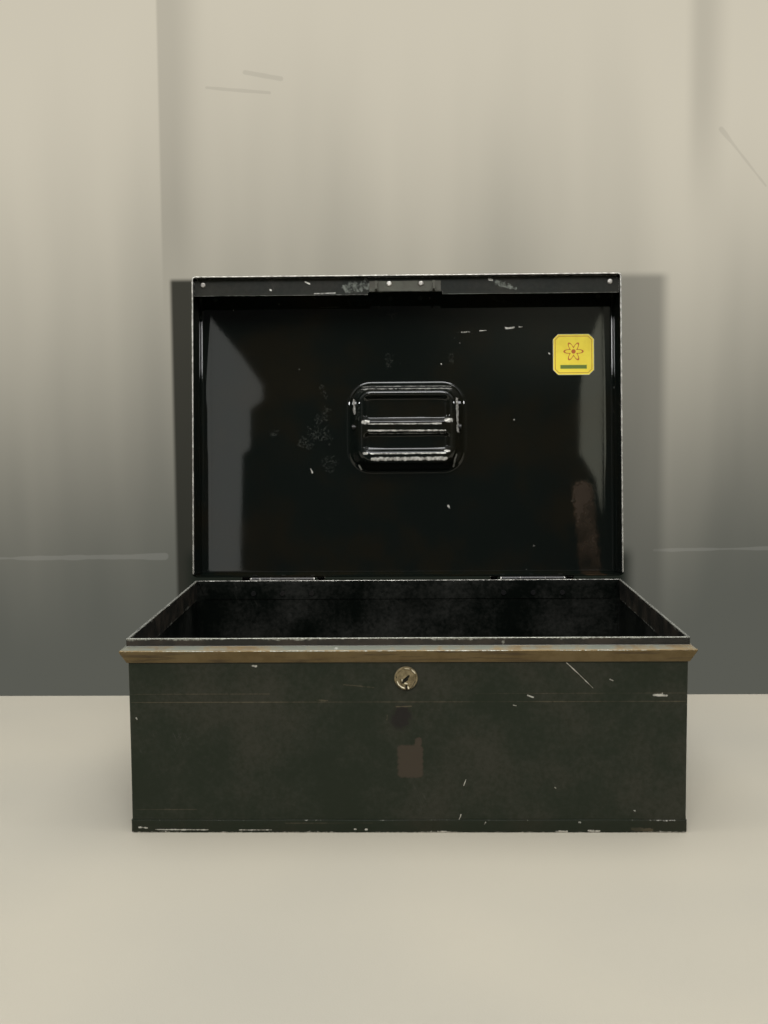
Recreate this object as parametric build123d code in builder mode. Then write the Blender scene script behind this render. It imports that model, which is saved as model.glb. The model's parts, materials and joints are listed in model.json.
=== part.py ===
"""Japanned tin deed box: a folded body with a bead round its rim, a deep lid on two stop hinges,
a drop handle in a pressed recess, and a link-plate box lock worked by a turning plug.

Millimetres, +Z up, front towards -Y, origin at the middle of the underside of the base.
The lid and what it carries are drawn shut, then swung back to the open rest pose.
"""

from build123d import *
import math
import os

# ---------------------------------------------------------------- sizes: body
sheet = 0.7                    # tinplate of the body and the lid
body_width = 406.0             # outside of the walls, left to right (16 in)
body_depth = 286.0             # outside of the walls, front to back (11 1/4 in)
body_height = 145.0            # floor to the top of the rim
fold_radius = 1.2              # outside radius of the walls' upright corners
seam_height = 9.5              # turned-up edge of the base tray
base_edge_radius = 0.6
wall_lap_width = 9.0           # lap that joins the walls' sheet, at the back
wall_lap_inset = 17.0          # middle of the lap, in from the body's left side

rim_leg = 18.0                 # folded strip's edges, inside and outside, down from the rim
bead_shoulder = 6.2            # top of the bead's slope, down from the rim
bead_tip_drop = 9.0            # inside of the bead's fold, down from the rim
bead_reach = 4.7               # inside of the bead's fold, out from the wall
leg_top_gap = 2.4              # inner strip's upper corner, in from the body's corner
leg_bottom_gap = 9.4           # inner strip's lower corner, in from the body's corner

# ---------------------------------------------------------------- sizes: lid
lid_clearance = 0.9            # lid wall to the rim's outer strip
lid_depth = 44.6               # lid's open edge to the inside of its top
skirt_overlap = 5.9            # lid's open edge, down from the rim, when shut
hem_height = 6.0               # folded edge of the lid's walls
lid_corner_radius = 2.5
open_angle = 95.8              # lid from shut to resting back on the hinge stops

rail_seat_gap = 0.3            # front rail over the rim when the lid is shut
rail_width = 16.6              # rail's shelf, front to back
rail_end_gap = 0.3             # rail to the lid's side walls
rail_upright = 12.0
rail_notch_width = 72.0        # cut-back in the rail's edge over the lock
rail_notch_depth = 2.6
lug_size = 15.0                # tabs of the side walls that hold the rail's ends
rail_rivet_spacing = 96.0
rail_rivet_count = 4
end_rivet_inset = 8.6          # from the lid's inner side wall
end_rivet_setback = 6.0        # from the lid's inner front wall

recess_width = 115.0           # handle recess at the lid's inner face
recess_length = 88.0
recess_radius = 22.0
recess_floor_width = 91.0
recess_floor_length = 68.0
recess_floor_radius = 12.0
recess_depth = 14.0
recess_edge_radius = 3.5
recess_y = -2.8                # middle of the recess, from the middle of the body
pad_height = 4.0               # raised pads across the recess's floor
pad_width = 83.0
pad_radius = 5.0
pad_taper = 20.0               # slope of the pads' sides
front_pad_length = 24.0
rear_pad_length = 18.0
front_pad_offset = -18.0       # middle of the pad, from the middle of the recess
rear_pad_offset = 15.4

bail_wire = 5.0                # drop handle's round bar
bail_arm_x = 45.0              # middle of each arm, from the handle's middle
bail_reach = 29.0              # pivot to the middle of the grip
bail_bend_radius = 9.0
bail_end_radius = 3.2
bail_pivot_depth = 7.0         # pivot below the lid's outer face
bail_end_proud = 1.8           # bar past the recess's wall
bail_fit = 0.06                # radial, bar in its hole

label_size = 40.5              # plain paper label inside the lid
label_corner = 5.0
label_thickness = 0.2
label_side_inset = 38.8        # middle of the label, from the lid's inner right wall
label_front_inset = 70.6       # middle of the label, from the lid's inner front wall

# ---------------------------------------------------------------- sizes: hinges and rivets
hinge_inset = 83.0             # middle of each hinge, in from the body's side
hinge_rise = 0.3               # pin above the rim
leaf_thickness = 1.0
leaf_width = 80.0
leaf_height = 17.0             # each leaf, from the pin's height
knuckle_zone = 60.0            # the three knuckles together
lid_knuckle_length = 23.4
knuckle_gap = 0.3
pin_diameter = 2.6
pin_fit = 0.05                 # radial, pin in knuckle
pin_head_diameter = 4.0
pin_head_height = 0.8
stop_width = 7.0               # tab of the body leaf that the opened lid leans on
stop_reach = 8.4               # tip of the tab behind the pin
stop_root_drop = 8.5           # upper side of the tab's root, below the pin
stop_gap = 0.15
body_rivet_drop = 12.5         # hinge rivets below the rim
lid_rivet_rise = 11.0          # hinge rivets above the pin, lid shut
hinge_rivet_spacing = 28.0

rivet_diameter = 3.0
rivet_head_diameter = 5.2
rivet_head_height = 1.2
rivet_dome_radius = 1.1
rivet_tail_diameter = 4.6
rivet_tail_height = 0.8

# ---------------------------------------------------------------- sizes: link plate and lock
lock_x = -0.7                  # middle of the link plate and of the lock
link_width = 68.8
link_thickness = 1.2
link_rivet_spacing = 30.6
link_rim_gap = 0.8             # link plate behind the rim's inner strip
link_edge_gap = 0.4            # link plate's edge in front of the rail's cut-back
eye_spacing = 55.0
eye_thickness = 2.0
eye_depth = 8.0                # front to back
eye_drop = 12.0                # eye below the link plate
eye_sill = 2.0                 # metal below the eye's window
window_height = 4.6
window_depth = 4.4

lock_drop = 29.8               # plug's axis below the rim
case_width = 78.0
case_top_drop = 4.0            # top of the lock case below the rim
case_height = 45.0
case_wall = 1.0
case_depth = 11.5              # inside, front to back
case_slot_gap = 0.7            # eyes in the slots of the case's top
barrel_diameter = 13.0
barrel_face_diameter = 17.0
barrel_face_thickness = 1.1
barrel_ring_height = 0.7       # raised ring round the face
barrel_ring_width = 1.7
barrel_ring_top = 0.7          # flat on the ring
barrel_notch = 1.4             # nick in the ring at the bottom
barrel_notch_depth = 0.5
barrel_tail = 0.2              # barrel past its nut
nut_across_flats = 18.0
nut_thickness = 2.5
plug_diameter = 9.0
plug_head_diameter = 10.4
plug_head_thickness = 1.5
plug_fit = 0.05                # radial, plug in barrel
plug_proud = 0.3
plug_tail = 5.0                # square that carries the cam
keyway_width = 1.5
keyway_length = 6.6
keyway_depth = 6.0
rest_key_angle = 40.0          # keyway at rest, above the horizontal

wafer_count = 3
wafer_pitch = 1.6
wafer_thickness = 0.8
wafer_width = 3.8
wafer_height = 7.2
wafer_offset = -0.7            # middle of the wafer, aside of the keyway
wafer_window = 5.2
wafer_foot_width = 1.4
wafer_foot_height = 1.2
wafer_foot_drop = 0.2          # foot's underside below the plug's axis
wafer_gap = 0.1                # each side of a wafer in its slot
wafer_web = 0.6                # plug behind the last wafer
wafer_lift = 0.6               # room above the foot
spring_wire = 0.22
spring_diameter = 0.8
spring_length = 2.8
spring_turns = 4
spring_seat_gap = 0.02

cam_thickness = 1.5
cam_diameter = 11.0
cam_crank = 3.55               # plug's axis to the cam's pin
cam_pin_diameter = 2.4
cam_pin_gap = 0.3              # each side of the pin in the bolt's slot
layer_gap = 0.3                # between nut, cam, bolt and what passes them
bolt_thickness = 2.0
bolt_below_axis = 1.2          # bolt's lower edge below the plug's axis
bolt_post_width = 3.0
bolt_finger_height = 3.4
bolt_finger_gap = 0.4          # fingers to the eyes while the bolt is drawn back
bolt_eye_gap = 0.6             # bolt's plate below the eyes
bolt_edge = 2.5                # metal past the right-hand guide slot
stud_diameter = 4.0
stud_spacing = 48.0
stud_rise = 9.0                # studs above the plug's axis
stud_gap = 0.15                # bolt's guide slots round the studs
cover_screw_diameter = 2.4
cover_screw_head_diameter = 5.0
cover_screw_head_height = 1.2
cover_screw_length = 5.0       # under the head

# ---------------------------------------------------------------- worked out from them
half_width = body_width / 2
half_depth = body_depth / 2
wall_top = body_height - sheet
rim_foot_z = body_height - rim_leg
rim_outside_x = half_width + sheet
rim_outside_y = half_depth + sheet
rim_inside_y = half_depth - 2 * sheet
cut = 5 * sheet                # enough for a cut through the sheets at one place

bore_radius = pin_diameter / 2 + pin_fit
knuckle_radius = bore_radius + leaf_thickness
knuckle_clear = knuckle_radius + knuckle_gap
hinge_y = rim_outside_y + knuckle_radius
hinge_z = body_height + hinge_rise
hinge_axis = Axis((0, hinge_y, hinge_z), (1, 0, 0))
leaf_y = rim_outside_y + leaf_thickness
body_rivet_z = body_height - body_rivet_drop
lid_rivet_z = hinge_z + lid_rivet_rise
hinge_x = half_width - hinge_inset
hinge_middles = {"hinge_left": -hinge_x, "hinge_right": hinge_x}
hinge_rivet_x = [
    middle + step * hinge_rivet_spacing for middle in hinge_middles.values() for step in (-1, 0, 1)
]

lid_inside_x = rim_outside_x + lid_clearance
lid_inside_y = rim_outside_y + lid_clearance
lid_outside_x = lid_inside_x + sheet
lid_outside_y = lid_inside_y + sheet
lid_back_inside_y = rim_outside_y - sheet
lid_length = lid_outside_y + rim_outside_y
lid_middle_y = (rim_outside_y - lid_outside_y) / 2
lid_bottom = body_height - skirt_overlap
lid_ceiling = lid_bottom + lid_depth
lid_top = lid_ceiling + sheet
back_edge_z = hinge_z + knuckle_gap

rail_z = body_height + rail_seat_gap
rail_back_y = rail_width - lid_inside_y
rail_half = lid_inside_x - rail_end_gap
rail_rivet_z = rail_z + (rail_upright + sheet) / 2
end_rivet_x = lid_inside_x - end_rivet_inset
end_rivet_y = end_rivet_setback - lid_inside_y

recess_floor_z = lid_top - recess_depth
pivot_z = lid_top - bail_pivot_depth
recess_slope = (recess_width - recess_floor_width) / 2 / recess_depth

link_z = rail_z - link_thickness
link_front_y = link_rim_gap - rim_inside_y
link_back_y = rail_back_y - rail_notch_depth - link_edge_gap
link_rivet_y = link_front_y + rivet_head_diameter / 2
eye_bottom = link_z - eye_drop

lock_z = body_height - lock_drop
case_front_y = -rim_inside_y
case_inside_y = case_front_y + case_wall
case_back_y = case_inside_y + case_depth
case_top = body_height - case_top_drop
case_middle_z = case_top - case_height / 2
eye_y = (case_inside_y + case_back_y) / 2
barrel_face_y = -half_depth - barrel_face_thickness
barrel_back_y = case_inside_y + nut_thickness + barrel_tail
plug_face_y = barrel_face_y - plug_proud
cam_back_y = case_inside_y + nut_thickness + layer_gap + cam_thickness
bolt_front_y = cam_back_y + layer_gap
bolt_travel = math.sqrt(2) * cam_crank
stud_z = lock_z + stud_rise
key_rise = math.radians(rest_key_angle)
# plane of the plug: faces forward, its upright direction runs along the keyway
plug_plane = Plane(
    origin=(lock_x, 0, lock_z), x_dir=(math.sin(key_rise), 0, -math.cos(key_rise)), z_dir=(0, -1, 0)
)
lock_plane = Plane(origin=(lock_x, 0, lock_z), x_dir=(1, 0, 0), z_dir=(0, -1, 0))


def save(part, name):
    """Label a finished piece and write it to its own file."""
    part.label = name
    export_step(part, f"parts/{name}.step")


def opened(part):
    """Swing a piece of the lid from shut to the open rest pose."""
    return part.rotate(hinge_axis, -open_angle)


def hinge_rivet_holes(y, z):
    """Holes for both hinges' rivets, on an upright plane that faces forward."""
    with BuildSketch(Plane.XZ.offset(-y)) as holes:
        for x in hinge_rivet_x:
            with Locations((x, z)):
                Circle(rivet_diameter / 2)
    return holes.sketch


def rail_rivet_holes(z):
    """Holes for the rail's end rivets, on a level plane."""
    with BuildSketch(Plane.XY.offset(z)) as holes:
        with Locations((-end_rivet_x, end_rivet_y), (end_rivet_x, end_rivet_y)):
            Circle(rivet_diameter / 2)
    return holes.sketch


def front_rivet_holes():
    """Holes for the rivets that hold the rail's upright to the lid's front wall."""
    with BuildSketch(Plane.XZ.offset(lid_outside_y)) as holes:
        with Locations((0, rail_rivet_z)):
            with GridLocations(rail_rivet_spacing, 1, rail_rivet_count, 1):
                Circle(rivet_diameter / 2)
    return holes.sketch


def link_rivet_holes(z):
    """Holes for the link plate's rivets, on a level plane."""
    with BuildSketch(Plane.XY.offset(z)) as holes:
        with Locations((lock_x, link_rivet_y)):
            with GridLocations(link_rivet_spacing, 1, 2, 1):
                Circle(rivet_diameter / 2)
    return holes.sketch


def rivet(grip):
    """Rivet down from z=0: domed head above, shank through the grip, flat tail below."""
    with BuildPart() as one:
        with BuildSketch():
            Circle(rivet_head_diameter / 2)
        extrude(amount=rivet_head_height)
        fillet(one.faces().sort_by(Axis.Z)[-1].edges(), radius=rivet_dome_radius)
        with BuildSketch():
            Circle(rivet_diameter / 2)
        extrude(amount=-grip)
        with BuildSketch(Plane.XY.offset(-grip)):
            Circle(rivet_tail_diameter / 2)
        extrude(amount=-rivet_tail_height)
    return one.part


os.makedirs("parts", exist_ok=True)

# ---------------------------------------------------------------- base and walls
with BuildPart() as base_tray:
    with BuildSketch():
        RectangleRounded(body_width + 2 * sheet, body_depth + 2 * sheet, fold_radius + sheet)
    extrude(amount=seam_height)
    with BuildSketch(Plane.XY.offset(sheet)):
        RectangleRounded(body_width, body_depth, fold_radius)
    extrude(amount=seam_height, mode=Mode.SUBTRACT)
    fillet(base_tray.faces().sort_by(Axis.Z)[0].edges(), radius=base_edge_radius)
save(base_tray.part, "base_tray")

with BuildPart() as body_walls:
    with BuildSketch(Plane.XY.offset(sheet)):
        RectangleRounded(body_width, body_depth, fold_radius)
        offset(amount=-sheet, mode=Mode.SUBTRACT)
    extrude(amount=wall_top - sheet)
    with BuildSketch(Plane.XY.offset(seam_height)):
        with Locations((wall_lap_inset - half_width, half_depth + sheet / 2)):
            Rectangle(wall_lap_width, sheet)
    extrude(amount=rim_foot_z - seam_height)
    with BuildSketch(lock_plane.offset(half_depth)):
        Circle(barrel_diameter / 2)
    extrude(amount=-cut, mode=Mode.SUBTRACT)
    extrude(hinge_rivet_holes(rim_outside_y, body_rivet_z), amount=cut, mode=Mode.SUBTRACT)
save(body_walls.part, "body_walls")


# ---------------------------------------------------------------- rim strips
def rim_strip(length, bead):
    """One side's folded strip along X: wall's outer face at y=0, outside towards -Y, mitred."""
    wall_line = [(sheet, rim_foot_z), (sheet, wall_top), (0, wall_top), *bead, (0, rim_foot_z)]
    with BuildPart() as strip:
        with BuildSketch(Plane.YZ.offset(-length)):
            Polygon(*wall_line)
            offset(amount=sheet, kind=Kind.INTERSECTION)
            Polygon(*wall_line, mode=Mode.SUBTRACT)
            with Locations((0, rim_foot_z - sheet)):
                Rectangle(4 * bead_reach, 2 * sheet, mode=Mode.SUBTRACT)
        extrude(amount=2 * length)
        for end in (-1, 1):
            mitre = Plane(origin=(end * length / 2, 0, 0), z_dir=(end, 1, 0))
            split(bisect_by=mitre, keep=Keep.BOTTOM)
        # the inner strip's ends are cut back on a slant
        with BuildSketch(Plane.XZ.offset(-sheet)):
            for end in (-1, 1):
                Polygon(
                    (end * (length / 2 - leg_top_gap), wall_top),
                    (end * length, wall_top),
                    (end * length, 0),
                    (end * (length / 2 - leg_bottom_gap), 0),
                    (end * (length / 2 - leg_bottom_gap), rim_foot_z),
                )
        extrude(amount=-cut, mode=Mode.SUBTRACT)
    return strip.part


bead_line = [(0, body_height - bead_shoulder), (-bead_reach, body_height - bead_tip_drop)]

with BuildPart() as rim_front:
    with Locations((0, -half_depth, 0)):
        add(rim_strip(body_width, bead_line))
save(rim_front.part, "rim_front")

for rim_name, side in (("rim_left", -1), ("rim_right", 1)):
    with BuildPart() as side_rim:
        with Locations(Location((side * half_width, 0, 0), (0, 0, side * 90))):
            add(rim_strip(body_depth, bead_line))
        # the bead ends flush with the back strip
        split(bisect_by=Plane.XZ.offset(-rim_outside_y), keep=Keep.TOP)
    save(side_rim.part, rim_name)

with BuildPart() as rim_back:
    with Locations(Location((0, half_depth, 0), (0, 0, 180))):
        add(rim_strip(body_width, []))
    extrude(hinge_rivet_holes(rim_outside_y, body_rivet_z), amount=cut, mode=Mode.SUBTRACT)
save(rim_back.part, "rim_back")

# ---------------------------------------------------------------- hinges
lean = math.radians(open_angle - 90)
stop_face_rise = (knuckle_radius - leaf_thickness) / math.cos(lean)
stop_tip_z = hinge_z + stop_face_rise - stop_reach * math.tan(lean) - stop_gap
stop_root_z = hinge_z - stop_root_drop
stop_rise = math.sqrt(2) * leaf_thickness


def hinge_pieces(middle):
    """Body leaf with its stop tabs, lid leaf drawn shut, and pin, about one place along X."""
    with BuildPart() as body_leaf:
        with BuildSketch(Plane.XZ.offset(-leaf_y)):
            with Locations((middle, hinge_z - leaf_height / 2)):
                Rectangle(knuckle_zone, leaf_height)
            with Locations((middle, hinge_z - (knuckle_clear + leaf_height) / 2)):
                Rectangle(leaf_width, leaf_height - knuckle_clear)
        extrude(amount=leaf_thickness)
        with BuildSketch(Plane.YZ.offset(middle - knuckle_zone / 2)):
            with Locations((hinge_y, hinge_z)):
                Circle(knuckle_radius)
        extrude(amount=knuckle_zone)
        with BuildSketch(Plane.YZ.offset(middle - lid_knuckle_length / 2 - knuckle_gap)):
            with Locations((hinge_y, hinge_z)):
                Rectangle(2 * knuckle_clear, 2 * knuckle_clear)
        extrude(amount=lid_knuckle_length + 2 * knuckle_gap, mode=Mode.SUBTRACT)
        # stop tabs, bent out and up: their tips just clear the opened lid leaf
        for near in (middle - leaf_width / 2, middle + leaf_width / 2 - stop_width):
            with BuildSketch(Plane.YZ.offset(near)):
                Polygon(
                    (rim_outside_y, stop_root_z - stop_rise),
                    (rim_outside_y, stop_root_z - leaf_thickness),
                    (leaf_y, stop_root_z),
                    (hinge_y + stop_reach - leaf_thickness, stop_tip_z),
                    (hinge_y + stop_reach, stop_tip_z),
                    (hinge_y + stop_reach, stop_tip_z - leaf_thickness),
                    (leaf_y, stop_root_z - stop_rise),
                )
            extrude(amount=stop_width)
        with BuildSketch(Plane.YZ.offset(middle - leaf_width / 2)):
            with Locations((hinge_y, hinge_z)):
                Circle(bore_radius)
        extrude(amount=leaf_width, mode=Mode.SUBTRACT)
        extrude(hinge_rivet_holes(leaf_y, body_rivet_z), amount=cut, mode=Mode.SUBTRACT)

    with BuildPart() as lid_leaf:
        with BuildSketch(Plane.XZ.offset(-leaf_y)):
            with Locations((middle, hinge_z + leaf_height / 2)):
                Rectangle(lid_knuckle_length, leaf_height)
            with Locations((middle, hinge_z + (knuckle_clear + leaf_height) / 2)):
                Rectangle(leaf_width, leaf_height - knuckle_clear)
        extrude(amount=leaf_thickness)
        with BuildSketch(Plane.YZ.offset(middle - lid_knuckle_length / 2)):
            with Locations((hinge_y, hinge_z)):
                Circle(knuckle_radius)
        extrude(amount=lid_knuckle_length)
        with BuildSketch(Plane.YZ.offset(middle - lid_knuckle_length / 2)):
            with Locations((hinge_y, hinge_z)):
                Circle(bore_radius)
        extrude(amount=lid_knuckle_length, mode=Mode.SUBTRACT)
        extrude(hinge_rivet_holes(leaf_y, lid_rivet_z), amount=cut, mode=Mode.SUBTRACT)

    with BuildPart() as pin:
        with BuildSketch(Plane.YZ.offset(middle - knuckle_zone / 2)):
            with Locations((hinge_y, hinge_z)):
                Circle(pin_diameter / 2)
        extrude(amount=knuckle_zone)
        for start in (middle - knuckle_zone / 2 - pin_head_height, middle + knuckle_zone / 2):
            with BuildSketch(Plane.YZ.offset(start)):
                with Locations((hinge_y, hinge_z)):
                    Circle(pin_head_diameter / 2)
            extrude(amount=pin_head_height)
    return body_leaf.part, lid_leaf.part, pin.part


for hinge_name, middle in hinge_middles.items():
    body_leaf, lid_leaf, pin = hinge_pieces(middle)
    save(body_leaf, f"{hinge_name}_body_leaf")
    save(opened(lid_leaf), f"{hinge_name}_lid_leaf")
    save(pin, f"{hinge_name}_pin")

with BuildPart() as hinge_body_rivets:
    for x in hinge_rivet_x:
        with Locations(Location((x, leaf_y, body_rivet_z), (-90, 0, 0))):
            add(rivet(leaf_y - rim_inside_y))
save(hinge_body_rivets.part, "hinge_body_rivets")

with BuildPart() as hinge_lid_rivets:
    for x in hinge_rivet_x:
        with Locations(Location((x, leaf_y, lid_rivet_z), (-90, 0, 0))):
            add(rivet(leaf_y - lid_back_inside_y))
save(opened(hinge_lid_rivets.part), "hinge_lid_rivets")


# ---------------------------------------------------------------- lid
def recess_form(top_z, inset, edge_radius):
    """The recess's shape below top_z: a wide rounded mouth tapering to a smaller floor."""
    with BuildPart() as form:
        with BuildSketch(Plane.XY.offset(top_z)):
            with Locations((0, recess_y)):
                RectangleRounded(
                    recess_width - 2 * inset, recess_length - 2 * inset, recess_radius - inset
                )
        with BuildSketch(Plane.XY.offset(top_z - recess_depth)):
            with Locations((0, recess_y)):
                RectangleRounded(
                    recess_floor_width - 2 * inset,
                    recess_floor_length - 2 * inset,
                    recess_floor_radius - inset,
                )
        loft()
        fillet(form.faces().sort_by(Axis.Z)[0].edges(), radius=edge_radius)
    return form.part


with BuildPart() as lid_tray:
    with BuildSketch(Plane.XY.offset(lid_bottom)):
        with Locations((0, lid_middle_y)):
            Rectangle(2 * lid_outside_x, lid_length)
    extrude(amount=lid_top - lid_bottom)
    upright_edges = lid_tray.edges().filter_by(Axis.Z)
    top_edges = lid_tray.faces().sort_by(Axis.Z)[-1].edges()
    fillet(upright_edges + top_edges, radius=lid_corner_radius)
    offset(amount=-sheet, openings=lid_tray.faces().sort_by(Axis.Z)[0])
    # folded hem outside the front and the side walls
    with BuildSketch(Plane.XY.offset(lid_bottom)):
        with Locations((0, lid_middle_y)):
            RectangleRounded(
                2 * (lid_outside_x + sheet), lid_length + 2 * sheet, lid_corner_radius + sheet
            )
            RectangleRounded(
                2 * lid_outside_x - sheet,
                lid_length - sheet,
                lid_corner_radius - sheet / 2,
                mode=Mode.SUBTRACT,
            )
        with Locations((0, rim_outside_y)):
            Rectangle(2 * body_width, 2 * lid_corner_radius, mode=Mode.SUBTRACT)
    extrude(amount=hem_height)
    # the back wall ends above the rim, with its hem turned inside
    with BuildSketch(Plane.XY.offset(lid_bottom)):
        with Locations((0, rim_outside_y)):
            Rectangle(2 * lid_inside_x, 2 * lid_corner_radius)
    extrude(amount=back_edge_z - lid_bottom, mode=Mode.SUBTRACT)
    with BuildSketch(Plane.XY.offset(back_edge_z)):
        with Locations((0, lid_back_inside_y - sheet / 2)):
            Rectangle(2 * (lid_inside_x - lid_corner_radius), sheet)
    extrude(amount=hem_height)
    # lugs folded in from the side walls, over the rail's ends
    with BuildSketch(Plane.XY.offset(rail_z + sheet)):
        for side in (-1, 1):
            with Locations((side * (lid_inside_x - lug_size / 2), sheet + lug_size / 2 - lid_inside_y)):
                Rectangle(lug_size, lug_size)
    extrude(amount=sheet)
    extrude(rail_rivet_holes(rail_z), amount=cut, mode=Mode.SUBTRACT)
    extrude(front_rivet_holes(), amount=-cut, mode=Mode.SUBTRACT)
    extrude(hinge_rivet_holes(leaf_y, lid_rivet_z), amount=cut, mode=Mode.SUBTRACT)
    # the recess pressed into the top, then its two raised pads
    add(recess_form(lid_ceiling, 0, recess_edge_radius))
    add(recess_form(lid_top, sheet / 2, recess_edge_radius - sheet), mode=Mode.SUBTRACT)
    for pad_offset, pad_length in (
        (front_pad_offset, front_pad_length),
        (rear_pad_offset, rear_pad_length),
    ):
        with BuildSketch(Plane.XY.offset(recess_floor_z - sheet / 2)):
            with Locations((0, recess_y + pad_offset)):
                RectangleRounded(pad_width + 2 * sheet, pad_length + 2 * sheet, pad_radius + sheet)
        extrude(amount=pad_height + sheet / 2, taper=pad_taper)
        with BuildSketch(Plane.XY.offset(recess_floor_z - sheet)):
            with Locations((0, recess_y + pad_offset)):
                RectangleRounded(pad_width, pad_length, pad_radius)
        extrude(amount=pad_height, taper=pad_taper, mode=Mode.SUBTRACT)
    # holes for the drop handle's ends, through the recess's end walls
    with BuildSketch(Plane.YZ.offset(-recess_width / 2)):
        with Locations((recess_y, pivot_z)):
            Circle(bail_wire / 2 + bail_fit)
    extrude(amount=recess_width, mode=Mode.SUBTRACT)
save(opened(lid_tray.part), "lid_tray")

with BuildPart() as front_rail:
    with BuildSketch(Plane.XY.offset(rail_z)):
        with Locations((0, rail_width / 2 - lid_inside_y)):
            Rectangle(2 * (lid_inside_x - lid_corner_radius), rail_width)
        with Locations((0, (lid_corner_radius + rail_width) / 2 - lid_inside_y)):
            Rectangle(2 * rail_half, rail_width - lid_corner_radius)
        with Locations((lock_x, rail_back_y)):
            Rectangle(rail_notch_width, 2 * rail_notch_depth, mode=Mode.SUBTRACT)
    extrude(amount=sheet)
    with BuildSketch(Plane.XY.offset(rail_z)):
        with Locations((0, sheet / 2 - lid_inside_y)):
            Rectangle(2 * (lid_inside_x - lid_corner_radius), sheet)
    extrude(amount=rail_upright)
    extrude(rail_rivet_holes(rail_z), amount=cut, mode=Mode.SUBTRACT)
    extrude(link_rivet_holes(rail_z), amount=cut, mode=Mode.SUBTRACT)
    extrude(front_rivet_holes(), amount=-cut, mode=Mode.SUBTRACT)
save(opened(front_rail.part), "front_rail")

with BuildPart() as rail_rivets:
    with Locations(Location((0, -lid_outside_y, rail_rivet_z), (90, 0, 0))):
        with GridLocations(rail_rivet_spacing, 1, rail_rivet_count, 1):
            add(rivet(2 * sheet))
    for side in (-1, 1):
        with Locations(Location((side * end_rivet_x, end_rivet_y, rail_z), (180, 0, 0))):
            add(rivet(2 * sheet))
save(opened(rail_rivets.part), "rail_rivets")

with BuildPart() as link_plate:
    with BuildSketch(Plane.XY.offset(link_z)):
        with Locations((lock_x, (link_front_y + link_back_y) / 2)):
            Rectangle(link_width, link_back_y - link_front_y)
    extrude(amount=link_thickness)
    for side in (-1, 1):
        with BuildSketch(Plane.YZ.offset(lock_x + side * eye_spacing / 2 - eye_thickness / 2)):
            with Locations((eye_y, link_z - eye_drop / 2)):
                Rectangle(eye_depth, eye_drop)
            with Locations((eye_y, eye_bottom + eye_sill + window_height / 2)):
                Rectangle(window_depth, window_height, mode=Mode.SUBTRACT)
        extrude(amount=eye_thickness)
    extrude(link_rivet_holes(link_z), amount=cut, mode=Mode.SUBTRACT)
save(opened(link_plate.part), "link_plate")

with BuildPart() as link_rivets:
    with Locations(Location((lock_x, link_rivet_y, link_z), (180, 0, 0))):
        with GridLocations(link_rivet_spacing, 1, 2, 1):
            add(rivet(link_thickness + sheet))
save(opened(link_rivets.part), "link_rivets")

with BuildPart() as lid_label:
    with BuildSketch(Plane.XY.offset(lid_ceiling - label_thickness)) as label_outline:
        with Locations((lid_inside_x - label_side_inset, label_front_inset - lid_inside_y)):
            Rectangle(label_size, label_size)
        chamfer(label_outline.vertices(), length=label_corner)
    extrude(amount=label_thickness)
save(opened(lid_label.part), "lid_label")

# ---------------------------------------------------------------- drop handle
bail_end_x = recess_width / 2 - recess_slope * (bail_pivot_depth - sheet) + bail_end_proud
with BuildPart() as handle_bail:
    with BuildLine():
        FilletPolyline(
            (-bail_end_x, recess_y, pivot_z),
            (-bail_arm_x, recess_y, pivot_z),
            (-bail_arm_x, recess_y + bail_reach, pivot_z),
            (bail_arm_x, recess_y + bail_reach, pivot_z),
            (bail_arm_x, recess_y, pivot_z),
            (bail_end_x, recess_y, pivot_z),
            radius=[bail_end_radius, bail_bend_radius, bail_bend_radius, bail_end_radius],
        )
    with BuildSketch(Plane(origin=(-bail_end_x, recess_y, pivot_z), z_dir=(1, 0, 0))):
        Circle(bail_wire / 2)
    sweep()
# it hangs upright while the lid leans back
hanging_bail = handle_bail.part.rotate(Axis((0, recess_y, pivot_z), (1, 0, 0)), open_angle - 90)
save(opened(hanging_bail), "handle_bail")

# ---------------------------------------------------------------- lock: barrel
plug_bore = plug_diameter / 2 + plug_fit
head_bore = plug_head_diameter / 2 + plug_fit
head_seat_y = plug_face_y + plug_head_thickness
face_radius = barrel_face_diameter / 2
ring_y = barrel_face_y - barrel_ring_height
ring_slope = (barrel_ring_width - barrel_ring_top) / 2
with BuildPart() as lock_barrel:
    with BuildSketch(Plane.YZ):
        Polygon(
            (barrel_back_y, plug_bore),
            (barrel_back_y, barrel_diameter / 2),
            (-half_depth, barrel_diameter / 2),
            (-half_depth, face_radius),
            (barrel_face_y, face_radius),
            (ring_y, face_radius - ring_slope),
            (ring_y, face_radius - barrel_ring_width + ring_slope),
            (barrel_face_y, face_radius - barrel_ring_width),
            (barrel_face_y, head_bore),
            (head_seat_y, head_bore),
            (head_seat_y, plug_bore),
        )
    revolve(axis=Axis.Y)
    with BuildSketch(Plane.XZ.offset(-ring_y)):
        with Locations((0, -face_radius)):
            Rectangle(barrel_notch, 2 * barrel_ring_width)
    extrude(amount=-barrel_notch_depth, mode=Mode.SUBTRACT)
save(lock_barrel.part.moved(Location((lock_x, 0, lock_z))), "lock_barrel")

with BuildPart() as barrel_spacer:
    with BuildSketch(lock_plane.offset(-case_front_y)):
        Circle(nut_across_flats / 2)
        Circle(barrel_diameter / 2, mode=Mode.SUBTRACT)
    extrude(amount=sheet)
save(barrel_spacer.part, "barrel_spacer")

with BuildPart() as barrel_nut:
    with BuildSketch(lock_plane.offset(-case_inside_y)):
        RegularPolygon(nut_across_flats / 2, 6, major_radius=False)
        Circle(barrel_diameter / 2, mode=Mode.SUBTRACT)
    extrude(amount=-nut_thickness)
save(barrel_nut.part, "barrel_nut")

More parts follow.
